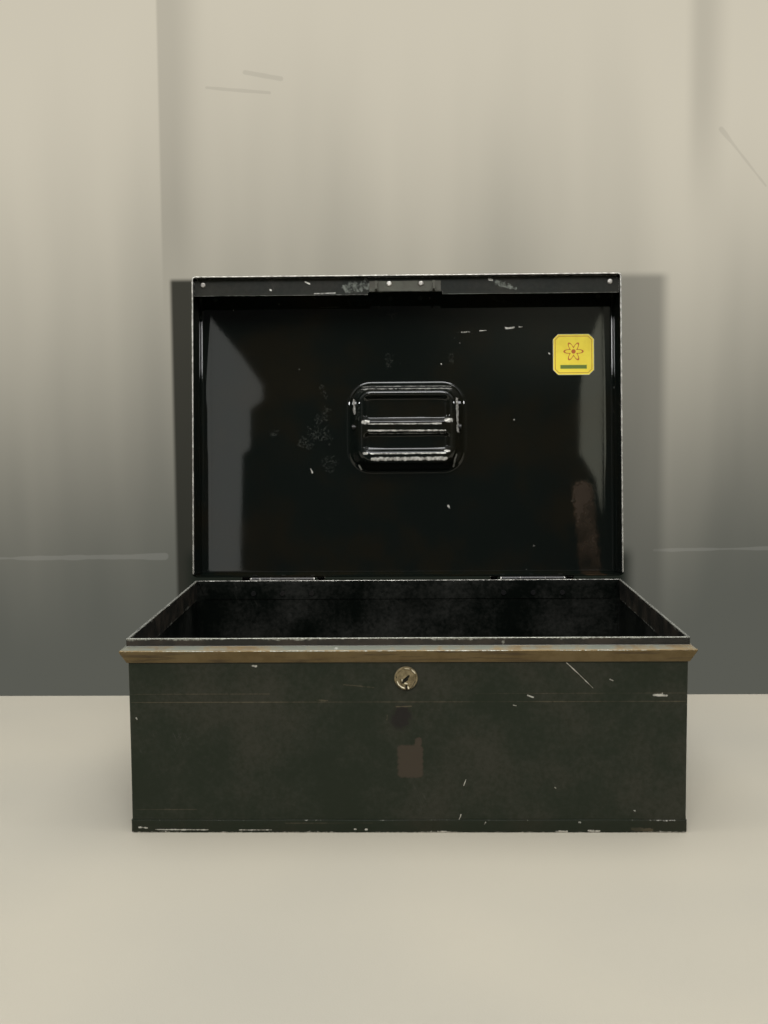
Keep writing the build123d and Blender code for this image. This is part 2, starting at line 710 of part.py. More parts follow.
# ---------------------------------------------------------------- lock: plug, wafers, cam
wafer_last_y = barrel_back_y - wafer_web - wafer_gap - wafer_thickness / 2
wafer_places = [wafer_last_y - i * wafer_pitch for i in range(wafer_count)]
slot_thickness = wafer_thickness + 2 * wafer_gap
foot_x = wafer_offset + (wafer_width + wafer_foot_width) / 2
chamber_bottom = -wafer_foot_drop - spring_length
chamber_top = wafer_foot_height - wafer_foot_drop + wafer_lift
with BuildPart() as lock_plug:
    with BuildSketch(plug_plane.offset(-barrel_back_y)):
        Circle(plug_diameter / 2)
    extrude(amount=barrel_back_y - plug_face_y)
    with BuildSketch(plug_plane.offset(-plug_face_y)):
        Circle(plug_head_diameter / 2)
    extrude(amount=-plug_head_thickness)
    with BuildSketch(plug_plane.offset(-cam_back_y)):
        Rectangle(plug_tail, plug_tail)
    extrude(amount=cam_back_y - barrel_back_y)
    with BuildSketch(plug_plane.offset(-plug_face_y)):
        SlotOverall(keyway_length, keyway_width, rotation=90)
    extrude(amount=-keyway_depth, mode=Mode.SUBTRACT)
    for y in wafer_places:
        with BuildSketch(plug_plane.offset(-y - slot_thickness / 2)):
            with Locations((wafer_offset, 0)):
                Rectangle(wafer_width + 2 * wafer_gap, 2 * plug_diameter)
            with Locations((foot_x, (chamber_bottom + chamber_top) / 2)):
                Rectangle(wafer_foot_width + 2 * wafer_gap, chamber_top - chamber_bottom)
        extrude(amount=slot_thickness, mode=Mode.SUBTRACT)
save(lock_plug.part, "lock_plug")

with BuildPart() as lock_wafers:
    for y in wafer_places:
        with BuildSketch(plug_plane.offset(-y - wafer_thickness / 2)):
            with Locations((wafer_offset, 0)):
                Rectangle(wafer_width, wafer_height)
            Rectangle(keyway_width, wafer_window, mode=Mode.SUBTRACT)
            with Locations((foot_x, wafer_foot_height / 2 - wafer_foot_drop)):
                Rectangle(wafer_foot_width, wafer_foot_height)
        extrude(amount=wafer_thickness)
save(lock_wafers.part, "lock_wafers")

spring_rise = spring_length - spring_wire - 2 * spring_seat_gap
spring_radius = (spring_diameter - spring_wire) / 2
with BuildPart() as one_spring:
    with BuildLine():
        coil = Helix(spring_rise / spring_turns, spring_rise, spring_radius)
    with BuildSketch(Plane(origin=coil @ 0, z_dir=coil % 0)):
        Circle(spring_wire / 2)
    sweep(is_frenet=True)
spring_foot = chamber_bottom + spring_wire / 2 + spring_seat_gap
with BuildPart() as wafer_springs:
    for y in wafer_places:
        spring_plane = Plane(
            origin=plug_plane.offset(-y).from_local_coords((foot_x, spring_foot, 0)),
            x_dir=(0, 1, 0),
            z_dir=plug_plane.y_dir,
        )
        with Locations(spring_plane.location):
            add(one_spring.part)
save(wafer_springs.part, "wafer_springs")

cam_pin_offset = bolt_travel / 2
with BuildPart() as lock_cam:
    with BuildSketch(plug_plane.offset(-cam_back_y)):
        Circle(cam_diameter / 2)
        Rectangle(plug_tail, plug_tail, mode=Mode.SUBTRACT)
    extrude(amount=cam_thickness)
    with BuildSketch(lock_plane.offset(-cam_back_y)):
        with Locations((-cam_pin_offset, cam_pin_offset)):
            Circle(cam_pin_diameter / 2)
    extrude(amount=-bolt_thickness - 2 * layer_gap)
save(lock_cam.part, "lock_cam")

# ---------------------------------------------------------------- lock: bolt, studs, case
left_tip = -(eye_spacing + eye_thickness) / 2 - bolt_finger_gap
right_tip = left_tip + eye_spacing
left_post = left_tip - bolt_travel
right_post = right_tip - bolt_travel
bolt_left = left_post - bolt_post_width
bolt_right = stud_spacing / 2 + stud_diameter / 2 + stud_gap + bolt_edge
bolt_bottom = -bolt_below_axis
bolt_top = eye_bottom - bolt_eye_gap - lock_z
finger_bottom = eye_bottom + eye_sill + (window_height - bolt_finger_height) / 2 - lock_z
finger_top = finger_bottom + bolt_finger_height
guide_height = stud_diameter + 2 * stud_gap
cam_slot_top = cam_crank + cam_pin_diameter / 2 + cam_pin_gap
with BuildPart() as lock_bolt:
    with BuildSketch(lock_plane.offset(-bolt_front_y)):
        Polygon(
            (bolt_left, bolt_bottom),
            (bolt_right, bolt_bottom),
            (bolt_right, bolt_top),
            (right_post, bolt_top),
            (right_post, finger_bottom),
            (right_tip, finger_bottom),
            (right_tip, finger_top),
            (right_post - bolt_post_width, finger_top),
            (right_post - bolt_post_width, bolt_top),
            (left_post, bolt_top),
            (left_post, finger_bottom),
            (left_tip, finger_bottom),
            (left_tip, finger_top),
            (bolt_left, finger_top),
        )
        for side in (-1, 1):
            with Locations((side * stud_spacing / 2 - bolt_travel / 2, stud_rise)):
                SlotOverall(guide_height + bolt_travel, guide_height, mode=Mode.SUBTRACT)
        with Locations((-cam_pin_offset, bolt_bottom)):
            SlotOverall(
                2 * (cam_slot_top - bolt_bottom),
                cam_pin_diameter + 2 * cam_pin_gap,
                rotation=90,
                mode=Mode.SUBTRACT,
            )
    extrude(amount=-bolt_thickness)
save(lock_bolt.part, "lock_bolt")

with BuildPart() as bolt_studs:
    with BuildSketch(lock_plane.offset(-case_inside_y)):
        with Locations((0, stud_rise)):
            with GridLocations(stud_spacing, 1, 2, 1):
                Circle(stud_diameter / 2)
    extrude(amount=-case_depth)
    with BuildSketch(lock_plane.offset(-case_back_y)):
        with Locations((0, stud_rise)):
            with GridLocations(stud_spacing, 1, 2, 1):
                Circle(cover_screw_diameter / 2)
    extrude(amount=cover_screw_length - case_wall, mode=Mode.SUBTRACT)
save(bolt_studs.part, "bolt_studs")

with BuildPart() as lock_case:
    with BuildSketch(Plane.XZ.offset(-case_back_y)):
        with Locations((lock_x, case_middle_z)):
            Rectangle(case_width, case_height)
    extrude(amount=case_depth + case_wall)
    with BuildSketch(Plane.XZ.offset(-case_back_y)):
        with Locations((lock_x, case_middle_z)):
            Rectangle(case_width - 2 * case_wall, case_height - 2 * case_wall)
    extrude(amount=case_depth, mode=Mode.SUBTRACT)
    with BuildSketch(lock_plane.offset(-case_front_y)):
        Circle(barrel_diameter / 2)
    extrude(amount=-case_wall, mode=Mode.SUBTRACT)
    with BuildSketch(Plane.XY.offset(case_top)):
        with Locations((lock_x, eye_y)):
            with GridLocations(eye_spacing, 1, 2, 1):
                Rectangle(eye_thickness + 2 * case_slot_gap, eye_depth + 2 * case_slot_gap)
    extrude(amount=-case_wall, mode=Mode.SUBTRACT)
save(lock_case.part, "lock_case")

cover_back_y = case_back_y + case_wall
with BuildPart() as lock_cover:
    with BuildSketch(Plane.XZ.offset(-cover_back_y)):
        with Locations((lock_x, case_middle_z)):
            Rectangle(case_width, case_height)
        with Locations((lock_x, stud_z)):
            with GridLocations(stud_spacing, 1, 2, 1):
                Circle(cover_screw_diameter / 2, mode=Mode.SUBTRACT)
    extrude(amount=case_wall)
save(lock_cover.part, "lock_cover")

with BuildPart() as lock_cover_screws:
    with BuildSketch(lock_plane.offset(-cover_back_y)):
        with Locations((0, stud_rise)):
            with GridLocations(stud_spacing, 1, 2, 1):
                Circle(cover_screw_diameter / 2)
    extrude(amount=cover_screw_length)
    with BuildSketch(lock_plane.offset(-cover_back_y)):
        with Locations((0, stud_rise)):
            with GridLocations(stud_spacing, 1, 2, 1):
                Circle(cover_screw_head_diameter / 2)
    extrude(amount=-cover_screw_head_height)
save(lock_cover_screws.part, "lock_cover_screws")
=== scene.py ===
"""Japanned tin deed box, standing open: a folded body with a bead round its rim, a deep lid that
leans back on its hinges, a drop handle in a pressed recess, a link plate and a round brass lock.

Every folded sheet is a grid of points worked out in millimetres, lid pieces as if the lid were shut.
They are written in metres, and what belongs to the lid is swung open on the hinge's axis.
"""

import json
import math

import bpy
import numpy as np
from mathutils import Matrix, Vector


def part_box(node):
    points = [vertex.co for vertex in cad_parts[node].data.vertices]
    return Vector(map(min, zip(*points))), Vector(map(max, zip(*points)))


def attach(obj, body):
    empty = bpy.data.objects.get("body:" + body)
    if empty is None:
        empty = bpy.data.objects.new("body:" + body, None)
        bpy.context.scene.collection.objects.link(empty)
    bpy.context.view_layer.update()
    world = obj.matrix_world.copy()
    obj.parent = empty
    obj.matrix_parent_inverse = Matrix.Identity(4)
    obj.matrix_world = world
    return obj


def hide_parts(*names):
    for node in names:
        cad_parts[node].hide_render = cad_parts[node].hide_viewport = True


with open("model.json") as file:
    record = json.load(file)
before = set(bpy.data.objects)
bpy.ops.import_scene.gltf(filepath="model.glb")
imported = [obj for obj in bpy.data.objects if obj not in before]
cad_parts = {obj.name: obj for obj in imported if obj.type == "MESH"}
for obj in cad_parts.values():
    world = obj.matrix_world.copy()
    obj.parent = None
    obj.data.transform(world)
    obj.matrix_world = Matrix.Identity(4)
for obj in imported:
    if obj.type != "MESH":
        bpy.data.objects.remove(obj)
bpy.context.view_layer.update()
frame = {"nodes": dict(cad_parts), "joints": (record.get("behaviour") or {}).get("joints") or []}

# ------------------------------------------------------------------------- camera and studio
# A camera level with the middle of the lid, a pale table top and a grey cloth behind it. Soft lights
# hang overhead and high in front, two lamps stand at the sides, and bright panes show only in gloss.
millimetre = 0.001

camera_place = np.array([2.98, -1007.6, 314.35]) * millimetre
camera_pitch = math.radians(-5.164)
camera_yaw = math.radians(-1.24)
camera_roll = math.radians(-0.436)
camera_lens = 42.595           # millimetres
sensor_height = 36.0           # millimetres, along the picture's height

forward = np.array([
    math.sin(camera_yaw) * math.cos(camera_pitch),
    math.cos(camera_yaw) * math.cos(camera_pitch),
    math.sin(camera_pitch),
])
level_right = np.array([math.cos(camera_yaw), -math.sin(camera_yaw), 0.0])
level_up = np.cross(level_right, forward)
camera_right = math.cos(camera_roll) * level_right + math.sin(camera_roll) * level_up
camera_up = math.cos(camera_roll) * level_up - math.sin(camera_roll) * level_right

camera_data = bpy.data.cameras.new("camera")
camera_data.sensor_fit = "VERTICAL"
camera_data.sensor_height = sensor_height
camera_data.lens = camera_lens
camera = bpy.data.objects.new("camera", camera_data)


def stand(thing, right, up, back, middle):
    """Puts a camera or a lamp in the scene, turned so that its own axes point these ways."""
    matrix = np.eye(4)
    for column, way in enumerate((right, up, back, middle)):
        matrix[:3, column] = way
    thing.matrix_world = Matrix(matrix.tolist())
    bpy.context.scene.collection.objects.link(thing)


stand(camera, camera_right, camera_up, -forward, camera_place)
bpy.context.scene.camera = camera
bpy.context.scene.view_settings.view_transform = "Standard"


def wire(tree, kind, inputs=None, **settings):
    """One shader node: its settings, and its inputs by name or number, each a value or a node's output."""
    made = tree.nodes.new("ShaderNode" + kind)
    for key, value in settings.items():
        setattr(made, key, value)
    for key, value in (inputs or {}).items():
        if isinstance(value, bpy.types.NodeSocket):
            tree.links.new(value, made.inputs[key])
        else:
            made.inputs[key].default_value = value
    return made


def home(*values):
    """The node tree of the first socket among these values."""
    return next(value.id_data for value in values if isinstance(value, bpy.types.NodeSocket))


def reckon(operation, *terms):
    """Output of a Math node with these terms, of which at least one is a socket."""
    return wire(home(*terms), "Math", dict(enumerate(terms)), operation=operation).outputs[0]


def times(a, b):
    """a times b."""
    return reckon("MULTIPLY", a, b)


def plus(a, b):
    """a plus b."""
    return reckon("ADD", a, b)


def minus(a, b):
    """a less b."""
    return reckon("SUBTRACT", a, b)


def most(a, b):
    """The greater of a and b."""
    return reckon("MAXIMUM", a, b)


def absolute(a):
    """a without its sign."""
    return reckon("ABSOLUTE", a)


def combine(operation, a, b, output=0):
    """Output of a Vector Math node with these two vectors."""
    return wire(home(a, b), "VectorMath", {0: a, 1: b}, operation=operation).outputs[output]


def noise(place, scale, detail, roughness=0.5, output="Fac"):
    """Noise between 0 and 1, with this many waves to the metre."""
    return wire(home(place), "TexNoise", {
        "Vector": place, "Scale": scale, "Detail": detail, "Roughness": roughness
    }).outputs[output]


def rise(value, low, high):
    """Mask that climbs smoothly from 0 at low to 1 at high."""
    return wire(home(value), "MapRange", {
        "Value": value, "From Min": low, "From Max": high
    }, interpolation_type="SMOOTHSTEP").outputs[0]


def mixed(mask, under, over):
    """Colour that goes from under to over as the mask goes from 0 to 1."""
    tree = home(mask, under, over)
    made = wire(tree, "Mix", data_type="RGBA")
    for socket, value in ((made.inputs[0], mask), (made.inputs[6], under), (made.inputs[7], over)):
        if isinstance(value, bpy.types.NodeSocket):
            tree.links.new(value, socket)
        else:
            socket.default_value = (*value, 1.0) if socket.type == "RGBA" else value
    return made.outputs[2]


def coordinates(place):
    """The x, y and z of a place."""
    return wire(home(place), "SeparateXYZ", {0: place}).outputs


def new_material(name):
    """Empty material: its node tree and the socket that takes its shader."""
    material = bpy.data.materials.new(name)
    material.use_nodes = True
    material.node_tree.nodes.clear()
    output = material.node_tree.nodes.new("ShaderNodeOutputMaterial")
    return material, material.node_tree, output.inputs["Surface"]


def add_plane(name, corners, material):
    """Four-cornered stage piece."""
    mesh = bpy.data.meshes.new(name)
    mesh.from_pydata(corners, [], [tuple(range(len(corners)))])
    mesh.materials.append(material)
    made = bpy.data.objects.new(name, mesh)
    bpy.context.scene.collection.objects.link(made)
    return made


def new_group(name, takes, gives):
    """Node group with these sockets, each a name and a kind, and its sockets as they are seen inside it."""
    group = bpy.data.node_groups.new(name, "ShaderNodeTree")
    for direction, sockets in (("INPUT", takes), ("OUTPUT", gives)):
        for label, kind in sockets:
            group.interface.new_socket(label, in_out=direction, socket_type="NodeSocket" + kind)
    return group, group.nodes.new("NodeGroupInput").outputs, group.nodes.new("NodeGroupOutput").inputs


def place_group(tree, group, inputs):
    """The group as a node of this tree, with its inputs by name."""
    made = tree.nodes.new("ShaderNodeGroup")
    made.node_tree = group
    for key, value in inputs.items():
        if isinstance(value, bpy.types.NodeSocket):
            tree.links.new(value, made.inputs[key])
        else:
            made.inputs[key].default_value = value
    return made.outputs


# stroke: a mark along the straight line from one point to another, ragged where Ragged strays from a half
stroke, given, out = new_group(
    "stroke",
    [("Place", "Vector"), ("From", "Vector"), ("To", "Vector"), ("Width", "Float"), ("Break", "Float"),
     ("Ragged", "Float")],
    [("Mask", "Float")],
)
along = combine("SUBTRACT", given["To"], given["From"])
offset = combine("SUBTRACT", given["Place"], given["From"])
length = combine("DOT_PRODUCT", along, along, "Value")
share = combine("DOT_PRODUCT", offset, along, "Value")
share = wire(stroke, "Math", {0: share, 1: length}, operation="DIVIDE", use_clamp=True).outputs[0]
foot = wire(stroke, "VectorMath", {0: along, "Scale": share}, operation="SCALE").outputs[0]
miss = combine("DISTANCE", offset, foot, "Value")
uneven = times(minus(given["Ragged"], 0.5), times(given["Break"], 5.0))
level = minus(plus(1.0, uneven), reckon("DIVIDE", miss, given["Width"]))
stroke.links.new(rise(level, 0.0, 0.45), out["Mask"])


def marked(place, ragged, marks, wanted):
    """The strongest of the strokes of this kind at each point. Each mark is a kind, two points in
    millimetres, a width and how broken it is."""
    strongest = None
    for kind, start, end, width, uneven in marks:
        if kind != wanted:
            continue
        mask = place_group(home(place), stroke, {
            "Place": place,
            "From": tuple(np.array(start) * millimetre),
            "To": tuple(np.array(end) * millimetre),
            "Width": width * millimetre,
            "Break": uneven,
            "Ragged": ragged,
        })["Mask"]
        strongest = mask if strongest is None else most(strongest, mask)
    return 0.0 if strongest is None else strongest


floor_reach = 6.0
cloth_y = 0.276                # the table top ends here and the cloth hangs down behind it
cloth_reach = 3.0
cloth_top = 6.0
floor_colour = (0.395, 0.362, 0.288)
floor_shade = (0.352, 0.328, 0.268)

floor_material, tree, surface = new_material("floor")
place = wire(tree, "TexCoord").outputs["Object"]
tone = mixed(rise(noise(place, 3.0, 2.0), 0.3, 0.7), floor_shade, floor_colour)
shader = wire(tree, "BsdfPrincipled", {"Base Color": tone, "Roughness": 0.85})
bump = wire(tree, "Bump", {"Height": noise(place, 900.0, 2.0), "Strength": 0.15, "Distance": millimetre})
tree.links.new(bump.outputs[0], shader.inputs["Normal"])
tree.links.new(shader.outputs[0], surface)
add_plane("floor", [
    (-floor_reach, -floor_reach, 0), (floor_reach, -floor_reach, 0), (floor_reach, floor_reach, 0),
    (-floor_reach, floor_reach, 0),
], floor_material)

# the cloth shows to the camera from the front only: light and reflections pass through it
# painted light and shade: the cloth runs from a shaded dark colour low down to a lit pale colour high up
cloth_shaded_low_colour = (0.100, 0.102, 0.086)
cloth_lit_high_colour = (0.60, 0.553, 0.445)
# creases painted on the cloth: the light strokes are painted highlights and the dark strokes painted shade
cloth_crease_highlight_and_shade = {"light": (0.06, (0.75, 0.73, 0.68)), "dark": (0.12, (0.03, 0.03, 0.03))}
cloth_creases = [
    ("light", (-520, 0, 150), (-260, 0, 152), 3.0, 0.8),
    ("light", (262, 0, 156), (420, 0, 158), 2.5, 0.8),
    ("dark", (-165, 0, 655), (-128, 0, 648), 2.6, 0.6),
    ("dark", (-205, 0, 640), (-140, 0, 634), 1.6, 0.8),
    ("dark", (325, 0, 592), (372, 0, 534), 2.6, 0.6),
]
# soft-edged areas, each where x and z climb or fall between two values, with its strength and colour:
# two hanging folds, of which the left one's left edge is sharp, then the lid's two shadows
fold_shade = (0.16, 0.15, 0.12)
cloth_areas = [
    ([(-0.2570, -0.2535), (-0.198, -0.243)], (0.38, 0.52), 0.30, fold_shade),
    ([(0.285, 0.303), (0.338, 0.306)], (0.46, 0.64), 0.26, fold_shade),
    ([(-0.2500, -0.2445), (0.0, -0.05)], (0.447, 0.441), 0.93, (0.022, 0.022, 0.017)),
    ([(0.278, 0.262), (0.0, 0.05)], (0.450, 0.440), 0.55, (0.085, 0.085, 0.072)),
]
box_shadow_on_cloth = (0.013, 0.016, 0.012)
front_view = (1.0, 0.0, 1.0)   # times a place, it leaves what shows from the front

cloth_material, tree, surface = new_material("cloth")
place = wire(tree, "TexCoord").outputs["Object"]
x, _, z = coordinates(place)
# painted light and shade: the cloth is paler high up and darker towards the bottom, with an uneven edge
stretched = wire(tree, "Mapping", {"Vector": place, "Scale": (6.0, 1.0, 0.9)}).outputs[0]
level = plus(z, times(minus(noise(stretched, 1.0, 3.0), 0.5), 0.34))
tone = mixed(rise(level, 0.07, 0.72), cloth_shaded_low_colour, cloth_lit_high_colour)
flattened = combine("MULTIPLY", place, front_view)
ragged = noise(place, 14.0, 3.0)
for kind, (strength, crease_painted_tone) in cloth_crease_highlight_and_shade.items():
    tone = mixed(times(marked(flattened, ragged, cloth_creases, kind), strength), tone, crease_painted_tone)
for across_edges, upright_edge, strength, area_tone in cloth_areas:
    area = rise(z, *upright_edge)
    for across_edge in across_edges:
        area = times(area, rise(x, *across_edge))
    tone = mixed(times(area, strength), tone, area_tone)
# right behind the box: painted shadow of the box on the cloth
tone = mixed(times(rise(absolute(x), 0.245, 0.225), rise(z, 0.165, 0.145)), tone, box_shadow_on_cloth)
glow = wire(tree, "Emission", {"Color": tone, "Strength": 1.0}).outputs[0]
clear = wire(tree, "BsdfTransparent").outputs[0]
seen = wire(tree, "LightPath").outputs["Is Camera Ray"]
shown = times(seen, minus(1.0, wire(tree, "NewGeometry").outputs["Backfacing"]))
tree.links.new(wire(tree, "MixShader", {0: shown, 1: clear, 2: glow}).outputs[0], surface)
add_plane("cloth", [
    (-cloth_reach, cloth_y, 0), (cloth_reach, cloth_y, 0), (cloth_reach, cloth_y, cloth_top),
    (-cloth_reach, cloth_y, cloth_top),
], cloth_material)

world = bpy.data.worlds.new("studio")
bpy.context.scene.world = world
world.use_nodes = True
tree = world.node_tree
tree.nodes.clear()
room_dark = (0.035, 0.035, 0.035)
room_light = (0.62, 0.62, 0.60)
room_pale = (0.46, 0.45, 0.42)
_, y, z = coordinates(wire(tree, "TexCoord").outputs["Generated"])
# light comes from above and from behind the box; the room behind the camera is dark
bright = most(rise(z, 0.30, 0.75), times(rise(y, -0.35, 0.5), 0.55))
air = mixed(bright, room_dark, room_light)
tone = mixed(wire(tree, "LightPath").outputs["Is Camera Ray"], air, room_pale)
back = wire(tree, "Background", {"Color": tone, "Strength": 1.0})
tree.links.new(back.outputs[0], wire(tree, "OutputWorld").inputs["Surface"])


def soft_light(name, middle, aim, width, height, power):
    """Rectangular soft light at middle, facing aim."""
    data = bpy.data.lights.new(name, "AREA")
    data.shape, data.size, data.size_y, data.energy = "RECTANGLE", width, height, power
    away = (np.array(middle) - np.array(aim)) / np.linalg.norm(np.array(middle) - np.array(aim))
    hangs = abs(away[2]) > 0.9
    side = np.cross((0.0, 1.0, 0.0) if hangs else (0.0, 0.0, 1.0), away)
    side /= np.linalg.norm(side)
    stand(bpy.data.objects.new(name, data), side, np.cross(away, side), away, middle)


soft_light("overhead", (0.08, -0.28, 1.85), (0.08, -0.279, 0.0), 1.7, 1.7, 21.0)
soft_light("front_high", (0.0, -1.70, 1.90), (0.0, 0.0, 0.25), 1.2, 0.8, 32.0)
soft_light("left_lamp", (-1.30, -0.40, 0.67), (0.0, 0.0, 0.60), 0.26, 0.12, 4.2)
soft_light("right_lamp", (1.30, -0.40, 0.67), (0.0, 0.0, 0.60), 0.26, 0.12, 3.2)

# bright things behind the camera that the lid's glossy inside mirrors, as outlines of x and z, one pane
# behind the other; the haze grows from its left and lower edges
pane_y = -1.05
pane_step = 0.005
haze_left, haze_right, haze_low, haze_high = -0.05, 0.40, 0.55, 0.78
panes = {
    "left_pane": ((0.98, 1.0, 0.94), [
        (-0.405, 0.20), (-0.340, 0.20), (-0.340, 0.465), (-0.325, 0.480), (-0.325, 0.560),
        (-0.300, 0.580), (-0.300, 0.610), (-0.345, 0.675), (-0.410, 0.755),
    ]),
    "right_pane": ((1.30, 1.30, 1.02), [
        (0.390, 0.34), (0.400, 0.60), (0.400, 0.760), (0.370, 0.690), (0.355, 0.600), (0.350, 0.465),
        (0.380, 0.410),
    ]),
    "upper_haze": ((0.26, 0.26, 0.20), [
        (haze_left, haze_low), (haze_right, haze_low), (haze_right, haze_high), (haze_left, haze_high),
    ]),
}
for order, (name, (colour, outline)) in enumerate(panes.items()):
    pane_material, tree, surface = new_material(name)
    strength = wire(tree, "LightPath").outputs["Is Glossy Ray"]
    if name == "upper_haze":
        x, _, z = coordinates(wire(tree, "TexCoord").outputs["Object"])
        strength = times(strength, times(rise(x, haze_left, 0.36), rise(z, haze_low, 0.74)))
    glow = wire(tree, "Emission", {"Color": (*colour, 1.0), "Strength": strength}).outputs[0]
    clear = wire(tree, "BsdfTransparent").outputs[0]
    tree.links.new(wire(tree, "AddShader", {0: clear, 1: glow}).outputs[0], surface)
    add_plane(name, [(x, pane_y - order * pane_step, z) for x, z in outline], pane_material)

# ------------------------------------------------------------------------- base tray
# The box's bottom: one sheet of tinplate with its edge turned up round the foot of the walls and
# soldered there. Black japan over it has chipped along the lower fold and the raw upper edge.
sheet = 0.7                    # thickness of the tinplate
smallest_radius = 0.02
bend_steps = 5
sharp_angle = math.radians(40)


def node_box(node):
    """Lowest and highest corner of a construction node, in millimetres."""
    low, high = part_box(node)
    return np.array(low) / millimetre, np.array(high) / millimetre


def loop_pattern(long_run, short_run, arc):
    """Points of a rounded rectangle as four rows: where each point's corner centre lies, as -1 to 1 in x
    and y, and which way the point faces from it, as cosine and sine. They go anticlockwise from the right
    front corner, with arc steps round each corner and long_run or short_run steps along each side."""
    rows = []
    for corner, (sx, sy) in enumerate([(1, -1), (1, 1), (-1, 1), (-1, -1)]):
        angle = math.radians(90 * (corner - 1)) + np.linspace(0, math.pi / 2, arc + 1)
        rows.append(np.stack([angle * 0 + sx, angle * 0 + sy, np.cos(angle), np.sin(angle)]))
        steps = long_run if corner % 2 else short_run
        run = np.linspace(-1, 1, steps + 1)[1:-1]
        nx, ny = round(math.cos(math.radians(90 * corner))), round(math.sin(math.radians(90 * corner)))
        nx, ny = nx + 0 * run, ny + 0 * run
        rows.append(np.stack([nx - ny * run, ny + nx * run, nx, ny]))
    return np.concatenate(rows, axis=1)


def loops(pattern, half_x, half_y, radius, middle_y=0.0):
    """Rounded rectangles on the pattern, one row for each size: corner centre plus radius times facing."""
    sx, sy, cx, cy = pattern
    half_x, half_y, radius, middle_y = (
        np.asarray(a, float).reshape(-1, 1) for a in (half_x, half_y, radius, middle_y)
    )
    radius = np.maximum(radius, smallest_radius)
    x = sx * (half_x - radius) + radius * cx
    y = middle_y + sy * (half_y - radius) + radius * cy
    return np.stack([x, y], axis=-1)


def rounded_line(corners, radii):
    """Line through the corners, each bent round: c is cut back by its radius to a and b, and the curve
    between them is (1-t)^2 a + 2t(1-t) c + t^2 b."""
    corners = np.asarray(corners, float)
    made = [corners[:1]]
    t = np.linspace(0, 1, bend_steps + 1)[:, None]
    for before, c, after, radius in zip(corners[:-2], corners[1:-1], corners[2:], radii):
        if radius == 0:
            made.append(c[None])
            continue
        a = c + (before - c) / np.linalg.norm(before - c) * radius
        b = c + (after - c) / np.linalg.norm(after - c) * radius
        made.append((1 - t) ** 2 * a + 2 * t * (1 - t) * c + t * t * b)
    made.append(corners[-1:])
    return np.concatenate(made)


def divided(line, longest):
    """The same line with its long steps split into steps no longer than this."""
    made = [line[:1]]
    for a, b in zip(line[:-1], line[1:]):
        count = max(1, math.ceil(np.linalg.norm(b - a) / longest))
        made.append(a + (b - a) * (np.arange(1, count + 1) / count)[:, None])
    return np.concatenate(made)


def ripple(x, y, seed, wavelength):
    """Slow unevenness between -1 and 1: the mean of six plane waves, each sin(k (x cos a + y sin a) + p)
    with its direction a, its wave number k and its phase p from the seed."""
    dice = np.random.default_rng(seed)
    waves = 6
    total = np.zeros(np.broadcast(x, y).shape)
    for _ in range(waves):
        turn, phase = dice.uniform(0, 2 * math.pi, 2)
        number = 2 * math.pi / (wavelength * dice.uniform(0.7, 1.6))
        total += np.sin((x * math.cos(turn) + y * math.sin(turn)) * number + phase)
    return total / waves


def skin(name, grid, body, node, material, wrap_rows=True, wrap_columns=True, cap=False,
         edge=None, shut=None, poles=False, tint=None):
    """Closed mesh on a grid of points: each square of neighbours is a face, wrapped directions join their
    ends, cap closes the two open ends, and poles closes the first and last row onto their middles.
    The mesh keeps each point's shut place, its nearness to a worn edge and its share of the second
    finish, which on the box's inside is painted shade."""
    rows, columns = grid.shape[:2]
    number = np.arange(rows * columns).reshape(rows, columns)
    if wrap_rows:
        number = np.concatenate([number, number[:1]])
    if wrap_columns:
        number = np.concatenate([number, number[:, :1]], axis=1)
    squares = [number[:-1, :-1], number[:-1, 1:], number[1:, 1:], number[1:, :-1]]
    faces = np.stack(squares, axis=-1).reshape(-1, 4).tolist()
    points = grid.reshape(-1, 3)
    shut = points if shut is None else shut.reshape(-1, 3)
    edge = np.zeros(len(points)) if edge is None else np.asarray(edge, float).reshape(-1)
    tint = np.zeros(len(points)) if tint is None else np.asarray(tint, float).reshape(-1)
    if poles:
        for row, order in ((0, -1), (rows - 1, 1)):
            hub = len(points)
            ring = np.arange(columns) + row * columns
            points = np.concatenate([points, points[ring].mean(0)[None]])
            shut = np.concatenate([shut, shut[ring].mean(0)[None]])
            edge = np.append(edge, 0.0)
            tint = np.append(tint, tint[row * columns])
            pairs = np.stack([ring, np.roll(ring, -1)], axis=1)[:, ::order]
            faces += [[int(a), int(b), hub] for a, b in pairs]
    if cap:
        faces += [number[:rows, 0].tolist(), number[:rows, -1].tolist()[::-1]]
    mesh = bpy.data.meshes.new(name)
    mesh.from_pydata((points * millimetre).tolist(), [], faces)
    if sum(face.center.dot(face.normal) * face.area for face in mesh.polygons) < 0:
        mesh.flip_normals()    # the volume came out negative, so the faces pointed inwards
    mesh.polygons.foreach_set("use_smooth", [True] * len(mesh.polygons))
    mesh.set_sharp_from_angle(angle=sharp_angle)
    kept_place = mesh.attributes.new("shut", "FLOAT_VECTOR", "POINT")
    kept_place.data.foreach_set("vector", (shut * millimetre).ravel())
    mesh.attributes.new("edge", "FLOAT", "POINT").data.foreach_set("value", edge)
    mesh.attributes.new("tint", "FLOAT", "POINT").data.foreach_set("value", tint)
    mesh.materials.append(material)
    made = bpy.data.objects.new(name, mesh)
    bpy.context.scene.collection.objects.link(made)
    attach(made, body)
    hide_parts(node)


def near(points, *places, reach=1.0):
    """Nearness of points to any of these places: e to the minus square of distance over reach."""
    away = [np.linalg.norm(points - np.array(place), axis=-1) for place in places]
    return np.exp(-((np.min(away, axis=0) / reach) ** 2))


